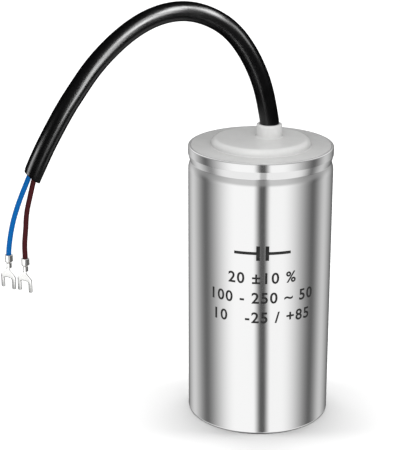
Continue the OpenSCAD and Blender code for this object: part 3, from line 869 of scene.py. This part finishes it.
    def tent(self, studio):
        """A tent that only reflections see: soft panels with dark gaps, over a bright floor."""
        made, tree = start_glow("studio_tent")
        place = node(tree, "ShaderNodeTexCoord")
        way = node(tree, "ShaderNodeVectorMath", {0: place.outputs["Object"]}, operation="NORMALIZE")
        axes = node(tree, "ShaderNodeSeparateXYZ", {0: way.outputs[0]})
        ray = node(tree, "ShaderNodeLightPath")
        known = {axis: axes.outputs[axis] for axis in "XYZ"}
        known["Diffuse Depth"] = ray.outputs["Diffuse Depth"]
        for name, operation, *values in self.tent_steps():
            values = [known.get(value, value) for value in values]
            if operation == "FADE":
                angle, start, end, low, high = values
                step = node(tree, "ShaderNodeMapRange", {
                    "Value": angle, "From Min": math.radians(start), "From Max": math.radians(end),
                    "To Min": low, "To Max": high}, interpolation_type="SMOOTHSTEP")
            else:
                step = node(tree, "ShaderNodeMath", dict(enumerate(values)), operation=operation)
            known[name] = step.outputs[0]
        shine = node(tree, "ShaderNodeEmission", {"Strength": known["shown"]})
        node(tree, "ShaderNodeOutputMaterial", {"Surface": shine.outputs[0]})
        bm = bmesh.new()
        around, up = self.TENT_SEGMENTS
        bmesh.ops.create_uvsphere(bm, u_segments=around, v_segments=up, radius=studio.tent)
        tent = piece("studio_tent", bm, [made])
        tent.location.z = self.TENT_Z
        show_in_mirrors_only(tent)
        tent.light_linking.receiver_collection = bpy.data.collections.new("tent")

    def softbox(self, group, place, aim, width, shine, depth=None):
        """A lamp that lights only the pieces of its group: square unless given its depth, and this bright."""
        data = bpy.data.lights.new(group, "AREA")
        data.shape = "RECTANGLE"
        data.size = width
        data.size_y = depth or width
        data.energy = shine * math.pi * data.size * data.size_y
        lamp = put(group, data)
        lamp.location = place
        lamp.rotation_euler = (place - aim).to_track_quat("Z", "Y").to_euler()
        lamp.visible_camera = False
        lit = bpy.data.collections.get(group) or bpy.data.collections.new(group)
        lamp.light_linking.receiver_collection = lit
        return lamp

    def cable_lamps(self, settings):
        """Lamps that the arched cable mirrors to the camera as one long highlight, and one behind it."""
        eye = Vector(settings.studio.eye)
        share_lit = settings.studio.cable_lamps
        line = smooth_line(CablePlane(settings).route(SHEATH_ROUTE), LINE_STEP / 2)
        path = stations(line, 0.0)
        for share, across, away, width, shine in self.CABLE_LAMPS:
            point, way, _ = path[round(share * (len(path) - 1))]
            view = (eye - point).normalized()
            facing = (view - view.dot(way) * way).normalized()
            normal = math.sqrt(1 - across ** 2) * facing + across * way.cross(facing)
            place = point + away * (2 * normal.dot(view) * normal - view)
            lamp = self.softbox("cable_lamps", place, point, width * away, shine * share_lit)
            lamp.data.spread = self.CABLE_SPREAD
            lamp.visible_diffuse = False
        away, width, shine = self.BACK_LAMP
        middle = path[len(path) // 2][0]
        behind = middle + away * (middle - eye).normalized()
        lamp = self.softbox("cable_lamps", behind, middle, width, shine * share_lit)
        lamp.visible_diffuse = False

    def fills(self, studio):
        """A low lamp for each terminal to mirror, and one in front that lifts the lid's upright faces."""
        for fork, height in self.FORK_LAMP_HEIGHTS:
            place = Vector((*self.FORK_LAMP_AT, height))
            aim = Vector((*self.FORK_LAMP_AIM, height))
            self.softbox(fork, place, aim, self.FORK_LAMP_WIDTH, studio.terminal_fill)
        place = Vector(self.LID_LAMP_AT)
        aim = Vector(self.LID_LAMP_AIM)
        lamp = self.softbox("lid_fill", place, aim, self.LID_LAMP_WIDTH, studio.lid_fill)
        lamp.visible_glossy = False

    def card(self):
        """A grey card that darkens the terminals' far sides; the can sees through its back."""
        made, tree = start_glow("studio_card")
        side = node(tree, "ShaderNodeNewGeometry")
        grey = node(tree, "ShaderNodeEmission", {"Strength": self.CARD_GREY})
        clear = node(tree, "ShaderNodeBsdfTransparent")
        mixed = node(tree, "ShaderNodeMixShader", {
            0: side.outputs["Backfacing"], 1: grey.outputs[0], 2: clear.outputs[0]})
        node(tree, "ShaderNodeOutputMaterial", {"Surface": mixed.outputs[0]})
        near, far = self.CARD_EDGES
        low, high = self.CARD_BAND
        mesh = bpy.data.meshes.new("studio_card")
        mesh.from_pydata([(*near, low), (*near, high), (*far, high), (*far, low)], [], [(0, 1, 2, 3)])
        mesh.materials.append(made)
        card = put("studio_card", mesh)
        show_in_mirrors_only(card)


class CAPACITOR_OT_terminals(bpy.types.Operator):
    """Makes the two fork terminals, each stamped from sheet and curled round its wire"""

    bl_idname = "capacitor.terminals"
    bl_label = "Fork terminals"

    # Columns of faces across the floor strip, half the web or a prong, and a wing of the grip and the crimp
    STRIP_COLUMNS = 12
    FORK_COLUMNS = 3
    GRIP_COLUMNS = 18
    CRIMP_COLUMNS = 12
    # Rows of faces along each stretch
    ROWS = 6
    # Curl, as one over the radius in metres, below which the sheet counts as flat
    FLAT = 1.0

    def execute(self, context):
        settings = context.scene.capacitor
        tin = worked_metal("tinned_brass", settings.finish.tin, dull_low=0.1, dull_high=0.18, mark=0.7 * MM)
        plane = CablePlane(settings)
        for name, tail in (("blue_fork", BLUE_TAIL), ("brown_fork", BROWN_TAIL)):
            bm = bmesh.new()
            self.sheet(bm, settings)
            self.hang(bm, settings.terminal, plane.route(tail)[-1])
            made = piece(name + "_terminal", bm, [tin])
            solid = made.modifiers.new("sheet", "SOLIDIFY")
            solid.thickness = settings.terminal.sheet
            solid.offset = 0.0
            solid.use_even_offset = True
            edge = made.modifiers.new("stamped_edge", "BEVEL")
            edge.width = settings.terminal.edge
            edge.segments = 2
            edge.limit_method = "ANGLE"
            dress(made, "terminal", name, mirrored=False)
            join(name, made)
        return {"FINISHED"}

    def sheet(self, bm, settings):
        """The blank's grid, curled: x along the wire, y across it, z from its axis towards the seam."""
        sizes = settings.terminal
        cable = settings.cable
        grip_mid = cable.core / 2 + settings.lid.fit + sizes.sheet / 2
        crimp_mid = cable.conductor / 2 + settings.lid.fit + sizes.sheet / 2
        crimp_x = sizes.grip + sizes.gap
        crimp_end = crimp_x + sizes.crimp
        plate_x = crimp_end + sizes.neck
        strip = sizes.neck_width / 2
        wrap = math.pi - sizes.seam / 2
        corners = {}

        def ease(x, start, end):
            share = min(1.0, max(0.0, (x - start) / (end - start)))
            return share * share * (3 - 2 * share)

        def fold(x, v):
            narrowed = ease(x, sizes.grip, crimp_x)
            curl = (1 - narrowed) / grip_mid + narrowed / crimp_mid
            curl *= 1 - ease(x, crimp_end, plate_x)
            low = -grip_mid + (grip_mid - crimp_mid) * narrowed
            if curl < self.FLAT:
                return (x, v, low)
            return (x, math.sin(v * curl) / curl, low + (1 - math.cos(v * curl)) / curl)

        def patch(xs, spread):
            # Corners that two patches share are made once
            rows = []
            for x in xs:
                keys = [(round(x, 8), round(v, 8)) for v in spread(x)]
                for key in keys:
                    if key not in corners:
                        corners[key] = bm.verts.new(fold(*key))
                rows.append([corners[key] for key in keys])
            for near, far in zip(rows, rows[1:]):
                for i in range(len(near) - 1):
                    bm.faces.new((near[i], near[i + 1], far[i + 1], far[i]))

        half = self.STRIP_COLUMNS // 2
        across = [strip * k / half for k in range(-half, half + 1)]
        grip_xs = spaced(0.0, sizes.grip, self.ROWS)
        gap_xs = spaced(sizes.grip, crimp_x, self.ROWS - 1)[1:-1]
        crimp_xs = spaced(crimp_x, crimp_end, self.ROWS)
        neck_xs = spaced(crimp_end, plate_x, self.ROWS)[1:]
        patch(grip_xs + gap_xs + crimp_xs + neck_xs, lambda x: across)
        wings = ((grip_xs, grip_mid, self.GRIP_COLUMNS), (crimp_xs, crimp_mid, self.CRIMP_COLUMNS))
        for xs, mid, count in wings:
            for side in (-1, 1):
                wing = [side * v for v in spaced(strip, wrap * mid, count)]
                patch(xs, lambda x: wing)
        self.fork(patch, sizes, plate_x, strip)

    def fork(self, patch, sizes, plate_x, strip):
        """The flat fork: a flare from the neck, a web and two prongs with round corners."""
        half_w = sizes.width / 2
        slot_x = plate_x + sizes.web
        tip_x = slot_x + sizes.slot_depth
        inner = sizes.slot_width / 2 - sizes.slot_round
        corner = Vector((plate_x + sizes.flare, half_w - sizes.flare_round))
        foot = Vector((plate_x, strip))
        span = (corner - foot).length
        rise = math.atan2(corner.y - foot.y, corner.x - foot.x) + math.asin(sizes.flare_round / span)
        tangent = math.sqrt(span ** 2 - sizes.flare_round ** 2)
        touch = foot + tangent * Vector((math.cos(rise), math.sin(rise)))
        tip_start = tip_x - sizes.tip_round

        def dropped(x):
            past = max(0.0, x - tip_start)
            return sizes.tip_round - math.sqrt(max(0.0, sizes.tip_round ** 2 - past ** 2))

        def outer(x):
            if x < touch.x:
                return strip + (x - plate_x) * math.tan(rise)
            short = max(0.0, corner.x - x)
            return corner.y + math.sqrt(sizes.flare_round ** 2 - short ** 2) - dropped(x)

        def slot(x):
            short = max(0.0, slot_x + sizes.slot_round - x)
            return inner + math.sqrt(max(0.0, sizes.slot_round ** 2 - short ** 2)) + dropped(x)

        def web_edge(x):
            return strip / 2 + (inner - strip / 2) * (x - plate_x) / sizes.web

        columns = self.FORK_COLUMNS
        bend = spaced(0.0, math.pi / 2, self.ROWS)
        web_xs = spaced(plate_x, touch.x, self.ROWS - 1) + spaced(touch.x, corner.x, self.ROWS)[1:] + [slot_x]
        prong_xs = [slot_x + sizes.slot_round * (1 - math.cos(a)) for a in bend]
        prong_xs += spaced(prong_xs[-1], tip_start, self.ROWS)[1:]
        prong_xs += [tip_start + sizes.tip_round * math.sin(a) for a in bend[1:]]
        patch(web_xs, lambda x: spaced(-web_edge(x), web_edge(x), 2 * columns))
        for side in (-1, 1):
            patch(web_xs, lambda x: [side * v for v in spaced(web_edge(x), outer(x), columns)])
            patch(prong_xs, lambda x: [side * v for v in spaced(slot(x), outer(x), columns)])

    def hang(self, bm, sizes, mouth):
        """Turns the terminal down from the end of its core, the fork towards the printed side."""
        side = Vector((-math.cos(sizes.lean), math.sin(sizes.lean), 0.0))
        back = (-UP).cross(side)
        for vert in bm.verts:
            x, y, z = vert.co
            vert.co = mouth - x * UP + y * side + z * back


class CAPACITOR_OT_cores(bpy.types.Operator):
    """Makes the blue and the brown core, with bare strands in their terminals"""

    bl_idname = "capacitor.cores"
    bl_label = "Cores"

    SIDES = 24
    # Strands of a conductor, their faces round and along, and the length of one turn
    STRANDS = 7
    STRAND_SIDES = 8
    STRAND_STEPS = 8
    PITCH = 9 * MM
    # The strands start this far inside the insulation and end as far past the crimp
    STRAND_TAIL = 0.3 * MM
    # The insulation ends this far past the grip, above the upper joint and above the winding tube's foot
    PAST_GRIP = 0.1 * MM
    ABOVE_JOINT = 0.2 * MM
    ABOVE_TUBE_FOOT = 4 * MM
    # The blue core stands upright to this far above the resin, and both meet this far below the sheath
    ABOVE_RESIN = 1 * MM
    BELOW_SHEATH = 0.6 * MM
    # The bare conductor runs from this far above its joint's foot to this far inside the insulation
    JOINT_FOOT = 0.5 * MM
    IN_INSULATION = 0.2 * MM

    def execute(self, context):
        settings = context.scene.capacitor
        finish = settings.finish
        plane = CablePlane(settings)
        copper = worked_metal("bare_copper", finish.copper, dull_low=0.25, dull_high=0.4, mark=0.3 * MM)
        blue_start, brown_start = self.starts(plane)
        cores = (
            ("blue", finish.blue, BLUE_TAIL, plane.core_side, blue_start, "upper_solder"),
            ("brown", finish.brown, BROWN_TAIL, -plane.core_side, brown_start, "lower_solder"))
        for name, base, tail, side, start, joint in cores:
            vinyl = extruded_vinyl(name + "_vinyl", base, gloss=0.3, shine=0.1, line=0.3 * MM)
            points = plane.core_points(side, tail, start)
            mouth = points[-1]
            points.append(mouth - (settings.terminal.grip + self.PAST_GRIP) * UP)
            line = smooth_line(points, LINE_STEP)
            split = self.split(line, plane.sheath_points()[-1], settings.cable.shown_end)
            self.free_end(settings, plane, name, line[split:], mouth, vinyl, copper)
            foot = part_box(joint)[0].z + self.JOINT_FOOT
            self.hidden_end(settings, plane, name, line[:split + 1], foot, vinyl, copper)
        return {"FINISHED"}

    def starts(self, plane):
        """The first points of the blue and of the brown core, from the solder joints to the sheath."""
        joint_low, joint_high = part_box("upper_solder")
        tube_low, tube_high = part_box("core_tube")
        resin_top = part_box("potting_resin")[1].z
        side = plane.core_side
        bend_z = (tube_high.z + plane.heights.boss_z) / 2
        meet_z = plane.heights.sheath_z - self.BELOW_SHEATH
        blue_at = ((joint_low + joint_high) / 2 - plane.outlet).dot(plane.along)
        brown_at = -plane.outlet.dot(plane.along)
        brown_aside = -plane.outlet.dot(plane.across)
        blue = [
            plane.raised(blue_at, joint_high.z + self.ABOVE_JOINT),
            plane.raised(blue_at, resin_top + self.ABOVE_RESIN),
            plane.raised((blue_at - side) / 2, bend_z),
            plane.raised(-side, meet_z)]
        brown = [
            plane.raised(brown_at, tube_low.z + self.ABOVE_TUBE_FOOT, brown_aside),
            plane.raised(brown_at, tube_high.z, brown_aside),
            plane.raised((brown_at + side) / 2, bend_z, brown_aside / 2),
            plane.raised(side, meet_z)]
        return blue, brown

    def split(self, line, cut_end, inside):
        """Where on its line a core's free end begins: this far inside the sheath's cut end."""
        gone = [(p - cut_end).length for p in line]
        leaves = gone.index(min(gone))
        begins = leaves
        while (line[begins] - line[leaves]).length < inside:
            begins -= 1
        return begins

    def free_end(self, settings, plane, name, free, mouth, vinyl, copper):
        """A core's free end and the strands in its terminal."""
        cable = settings.cable
        cut_end = plane.sheath_points()[-1]
        bm = bmesh.new()
        close_ends(bm, sweep_tube(bm, stations(free, cable.core / 2), plane.across, self.SIDES))
        shown = piece(name + "_core_end", bm, [vinyl])
        dress(shown, name + "_insulation", name + "_core", mirrored=False)
        keep_from("tent", shown)
        strands = self.strands(settings, plane, name, mouth, copper)

    def hidden_end(self, settings, plane, name, hidden, foot, vinyl, copper):
        """A core's length in the sheath and the can, with its bare conductor in the solder joint."""
        cable = settings.cable
        sides = self.SIDES // 2
        bm = bmesh.new()
        close_ends(bm, sweep_tube(bm, stations(hidden, cable.core / 2), plane.across, sides))
        bare = [Vector((hidden[0].x, hidden[0].y, foot)), hidden[0] + self.IN_INSULATION * UP]
        close_ends(bm, sweep_tube(bm, stations(bare, cable.conductor / 2), plane.across, sides, 1), 1)
        inside = piece(name + "_core_inside", bm, [vinyl, copper])
        dress(inside, name + "_insulation", name + "_core", mirrored=False)

    def strands(self, settings, plane, name, mouth, copper):
        """Twisted strands round a straight one, from inside the insulation to just past the crimp."""
        sizes = settings.terminal
        start = sizes.grip - self.STRAND_TAIL
        end = sizes.grip + sizes.gap + sizes.crimp + self.STRAND_TAIL
        # Three strands lie side by side across the conductor
        thin = settings.cable.conductor / 6
        bm = bmesh.new()
        for k in range(self.STRANDS):
            out = 0.0 if k == self.STRANDS - 1 else 2.0 * thin
            line = []
            for x in spaced(start, end, self.STRAND_STEPS):
                angle = math.tau * (k / (self.STRANDS - 1) + x / self.PITCH)
                offset = out * (math.cos(angle) * plane.along + math.sin(angle) * plane.across)
                line.append(mouth - x * UP + offset)
            close_ends(bm, sweep_tube(bm, stations(line, thin), plane.across, self.STRAND_SIDES))
        made = piece(name + "_strands", bm, [copper])
        return dress(made, name + "_insulation", name + "_core", mirrored=False)


class CAPACITOR_OT_sheath(bpy.types.Operator):
    """Makes the black sheath with its cut end"""

    bl_idname = "capacitor.sheath"
    bl_label = "Cable sheath"

    SIDES = 48
    # Stations over which the rings lean towards the slanted cut, and steps round its edge
    CUT_STATIONS = 5
    EDGE_STEPS = 5

    def execute(self, context):
        settings = context.scene.capacitor
        cable = settings.cable
        plane = CablePlane(settings)
        jacket = extruded_vinyl("black_vinyl", settings.finish.jacket, gloss=0.22, shine=0.5, line=0.5 * MM)
        line = smooth_line(plane.sheath_points(), LINE_STEP)
        radius = cable.sheath / 2
        bore = cable.bore / 2
        outside = stations(line, radius)
        for k in range(self.CUT_STATIONS):
            point, way, _ = outside[k - self.CUT_STATIONS]
            leaning = Quaternion(plane.across, -cable.cut_lean * (k + 1) / self.CUT_STATIONS)
            outside[k - self.CUT_STATIONS] = (point, leaning @ way, radius)
        end, way, _ = outside[-1]
        edge = [(end - way * cable.cut_round * (1 - y), way, radius - cable.cut_round * (1 - x))
                for x, y in arc((0.0, 0.0), 1.0, 0.0, math.pi / 2, self.EDGE_STEPS)]
        lip = [(end, way, bore + cable.cut_round), (end - way * cable.cut_round, way, bore)]
        inside = [(p, d, bore) for p, d, _ in reversed(outside[:-1])]
        bm = bmesh.new()
        rings = sweep_tube(bm, outside[:-1] + edge + lip + inside, plane.across, self.SIDES)
        skin(bm, rings[-1], rings[0])
        sheath = piece("sheath", bm, [jacket], sharp=60)
        dress(sheath, "sheath", "cable_sheath", mirrored=False)
        join("cable_lamps", sheath)
        keep_from("tent", sheath)
        return {"FINISHED"}


class CAPACITOR_OT_can(bpy.types.Operator):
    """Turns the drawn can with its shoulder, groove, rim and rolled lip"""

    bl_idname = "capacitor.can"
    bl_label = "Can"

    SIDES = 192
    SHOULDER_STEPS = 12
    # The sheet's thickness over the radius of the lip's sheared edges
    SHEARED = 20

    def execute(self, context):
        settings = context.scene.capacitor
        can = settings.can
        heights = Heights(settings)
        tilt = math.asin(can.shoulder_height / heights.shoulder_r)
        tilt_in = math.asin(can.shoulder_height / heights.shoulder_in)
        centre = (heights.can_r - heights.shoulder_r, heights.shoulder_z)
        shoulder = arc(centre, heights.shoulder_r, 0.0, tilt, self.SHOULDER_STEPS)
        shoulder_in = arc(centre, heights.shoulder_in, tilt_in, -tilt_in, self.SHOULDER_STEPS)
        sheared = can.wall / self.SHEARED
        corners = [(0.0, 0.0, 0.0), (heights.can_r, 0.0, can.base_round)]
        corners += [(*point, 0.0) for point in shoulder[:-1]]
        corners += [
            (heights.neck_r, heights.neck_z, can.fold_round), (heights.rim_r, heights.rim_z, can.fold_round),
            (heights.rim_r, can.height, can.lip_round), (heights.lip_in, can.height, sheared),
            (heights.lip_in, heights.land_z, sheared), (heights.rim_in, heights.land_z, 0.0),
            (heights.rim_in, heights.rim_z, 0.0)]
        corners += [(*point, 0.0) for point in shoulder_in]
        corners += [(heights.can_in, can.floor, can.base_round - can.wall), (0.0, can.floor, 0.0)]
        bm = bmesh.new()
        lathe(bm, rounded(corners), self.SIDES)
        shell = piece("can_shell", bm, [drawn_aluminium(settings.finish.aluminium)])
        dress(shell, "can", "can")
        join("floor_shadow", shell)
        return {"FINISHED"}


class CAPACITOR_OT_lid(bpy.types.Operator):
    """Moulds the lid: flange, raised disc, skirt, and the collar and boss round the cable"""

    bl_idname = "capacitor.lid"
    bl_label = "Lid"

    SIDES = 144

    def execute(self, context):
        settings = context.scene.capacitor
        can = settings.can
        lid = settings.lid
        heights = Heights(settings)
        disc_z = heights.disc_z
        land_z = heights.land_z
        flange_z = heights.flange_z
        boss_z = heights.boss_z
        outlet_z = heights.outlet.z
        skirt_z = flange_z - lid.skirt_depth
        hollow_z = flange_z + lid.disc_height
        disc_r = lid.disc_diameter / 2
        held = heights.lip_in - lid.fit
        flange_r = heights.rim_in - lid.fit
        skirt_r = heights.neck_in - lid.skirt_gap
        skirt_in = skirt_r - lid.skirt_wall
        hollow_r = lid.hollow_diameter / 2
        bore_r = settings.cable.sheath / 2 + lid.fit
        collar_r = bore_r + lid.collar_wall
        boss_r = bore_r + lid.boss_wall
        edge = lid.edge_round
        ring = 2 * lid.foot_round
        bm = bmesh.new()
        body = lathe(bm, rounded([
            (disc_r - lid.disc_round - ring, disc_z, 0.0), (disc_r, disc_z, lid.disc_round),
            (disc_r, can.height, lid.disc_foot), (held, can.height, edge), (held, land_z, 0.0),
            (flange_r, land_z, edge), (flange_r, flange_z, edge), (skirt_r, flange_z, 0.0),
            (skirt_r, skirt_z, 2 * edge), (skirt_in, skirt_z, 2 * edge), (skirt_in, flange_z, 0.0),
            (hollow_r, flange_z, edge), (hollow_r, hollow_z, lid.foot_round),
            (hollow_r - ring, hollow_z, 0.0)]), self.SIDES)
        outlet = lathe(bm, rounded([
            (collar_r + ring, disc_z, 0.0), (collar_r, disc_z, lid.foot_round),
            (collar_r, outlet_z, lid.collar_round), (bore_r, outlet_z, edge), (bore_r, boss_z, edge),
            (boss_r, boss_z, edge), (boss_r, hollow_z, lid.foot_round), (boss_r + ring, hollow_z, 0.0)]),
            self.SIDES, heights.outlet)
        skin(bm, body[0], outlet[0])
        skin(bm, body[-1], outlet[-1])
        made = piece("lid_moulding", bm, [moulded_polypropylene(settings.finish.polypropylene, disc_r)])
        dress(made, "lid", "lid")
        join("floor_shadow", made)
        join("lid_fill", made)
        return {"FINISHED"}


class CAPACITOR_OT_print(bpy.types.Operator):
    """Prints a generic symbol and plain numbers on the can"""

    bl_idname = "capacitor.print"
    bl_label = "Printed marks"

    # Plain numbers, with the foot and the height of each row in millimetres
    ROWS = (("20 ±10 %", 50.4, 3.5), ("100 - 250 ~ 50", 44.0, 3.5), ("10   -25 / +85", 37.6, 3.5))
    # Space between the figures as a share of the usual one, how far their outlines are widened in sizes, and
    # steps along their curves
    SPACING = 1.15
    WEIGHT = 0.02
    CURVE_STEPS = 4
    # The ink lies this far off the wall, so that their faces don't meet
    LIFT = 0.005 * MM

    def execute(self, context):
        settings = context.scene.capacitor
        marks = bmesh.new()
        self.symbol(marks, settings.print)
        for text, foot, height in self.ROWS:
            self.row(marks, text, foot * MM, height * MM)
        self.wrap(marks, settings)
        made = piece("printed_marks", marks, [pad_ink(settings.finish.ink)])
        skin_of_ink = made.modifiers.new("ink", "SOLIDIFY")
        skin_of_ink.thickness = settings.print.ink
        skin_of_ink.offset = 1.0
        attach(made, ROOT)
        return {"FINISHED"}

    def symbol(self, bm, sizes):
        """The circuit symbol of a capacitor: two plates and two leads."""
        plate_in = sizes.plate_gap / 2
        plate_out = plate_in + sizes.plate
        lead_low = sizes.symbol_foot + (sizes.symbol_height - sizes.lead) / 2
        for side in (-1, 1):
            self.bar(bm, side * plate_in, side * plate_out, sizes.symbol_foot, sizes.symbol_height)
            self.bar(bm, side * plate_out, side * sizes.symbol_width / 2, lead_low, sizes.lead)

    def bar(self, bm, start, end, low, tall):
        """One upright rectangle of ink on the flat print."""
        left = min(start, end)
        right = max(start, end)
        corners = ((left, low), (right, low), (right, low + tall), (left, low + tall))
        bm.faces.new([bm.verts.new((x, z, 0.0)) for x, z in corners])

    def row(self, bm, text, foot, height):
        """One row of numbers in the built-in letterform, centred, its figures this tall."""
        data = bpy.data.curves.new("row", "FONT")
        data.body = text
        data.align_x = "CENTER"
        data.space_character = self.SPACING
        data.size = 1.0
        data.offset = self.WEIGHT
        data.resolution_u = self.CURVE_STEPS
        holder = bpy.data.objects.new("row", data)
        mesh = bpy.data.meshes.new_from_object(holder)
        bpy.data.objects.remove(holder)
        bpy.data.curves.remove(data)
        tops = [v.co.y for v in mesh.vertices]
        scale = height / max(tops)
        for v in mesh.vertices:
            v.co = (v.co.x * scale, v.co.y * scale + foot, 0.0)
        bm.from_mesh(mesh)
        bpy.data.meshes.remove(mesh)

    def wrap(self, bm, settings):
        """Cuts the flat print into strips and bends it round the can's wall."""
        step = settings.print.slice
        reach = max(abs(v.co.x) for v in bm.verts)
        for i in range(-int(reach / step), int(reach / step) + 1):
            everything = bm.verts[:] + bm.edges[:] + bm.faces[:]
            bmesh.ops.bisect_plane(bm, geom=everything, plane_co=(i * step, 0, 0), plane_no=(1, 0, 0))
        radius = settings.can.diameter / 2 + self.LIFT
        for v in bm.verts:
            angle = v.co.x / radius
            v.co = (radius * math.sin(angle), -radius * math.cos(angle), v.co.y)


class CAPACITOR_OT_inside(bpy.types.Operator):
    """Gives the pieces inside the sealed can their finishes"""

    bl_idname = "capacitor.inside"
    bl_label = "Inside pieces"

    FILM = "#B8BAC2"
    # Other finishes: colour, how metallic and how rough, size of the grains, and the pieces that have it
    GRAINED = (
        ("sprayed_zinc", "#A6A8A9", 1.0, 0.6, 0.4 * MM, ("upper_contact", "lower_contact")),
        ("soft_solder", "#BABCBE", 1.0, 0.3, 1.5 * MM, ("upper_solder", "lower_solder")),
        ("extruded_polypropylene", "#E0DED1", 0.0, 0.45, 2 * MM, ("core_tube",)),
        ("polyester_wrap", "#E6DBB8", 0.0, 0.35, 3 * MM, ("outer_wrap",)),
        ("pressboard", "#BFA880", 0.0, 0.8, 0.8 * MM, ("base_insulator",)),
        ("cast_polyurethane", "#73664D", 0.0, 0.35, 5 * MM, ("potting_resin",)),
        ("moulded_rubber", "#2E2E30", 0.0, 0.7, 0.6 * MM, ("lid_seal",)),
    )

    def execute(self, context):
        self.coat("winding", wound_film(linear(self.FILM)))
        for finish, base, metallic, roughness, grain, pieces in self.GRAINED:
            made = grained(finish, linear(base), metallic, roughness, grain)
            for name in pieces:
                self.coat(name, made)
        return {"FINISHED"}

    def coat(self, name, finish):
        """Gives one of the part's solids its finish."""
        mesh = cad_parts[name].data
        mesh.materials.clear()
        mesh.materials.append(finish)


OPERATORS = (
    CAPACITOR_OT_stage, CAPACITOR_OT_terminals, CAPACITOR_OT_cores, CAPACITOR_OT_sheath,
    CAPACITOR_OT_can, CAPACITOR_OT_lid, CAPACITOR_OT_print, CAPACITOR_OT_inside)


class CAPACITOR_PT_panel(bpy.types.Panel):
    """Lists the pieces of the capacitor"""

    bl_idname = "CAPACITOR_PT_panel"
    bl_label = "Motor Start Capacitor"
    bl_space_type = "VIEW_3D"
    bl_region_type = "UI"
    bl_category = "Capacitor"

    def draw(self, context):
        for operator in OPERATORS:
            self.layout.operator(operator.bl_idname)


GROUPS = (CanSizes, LidSizes, CableSizes, TerminalSizes, PrintSizes, Finishes, Studio, CapacitorSettings)
CLASSES = GROUPS + OPERATORS + (CAPACITOR_PT_panel,)


def register():
    """Registers the classes and adds the settings to the scene."""
    for cls in CLASSES:
        bpy.utils.register_class(cls)
    bpy.types.Scene.capacitor = bpy.props.PointerProperty(type=CapacitorSettings)


def unregister():
    """Takes the settings and the classes away."""
    del bpy.types.Scene.capacitor
    for cls in reversed(CLASSES):
        bpy.utils.unregister_class(cls)


def main():
    """Makes the studio and every piece."""
    register()
    for operator in OPERATORS:
        group, name = operator.bl_idname.split(".")
        getattr(getattr(bpy.ops, group), name)()


if __name__ == "__main__":
    main()
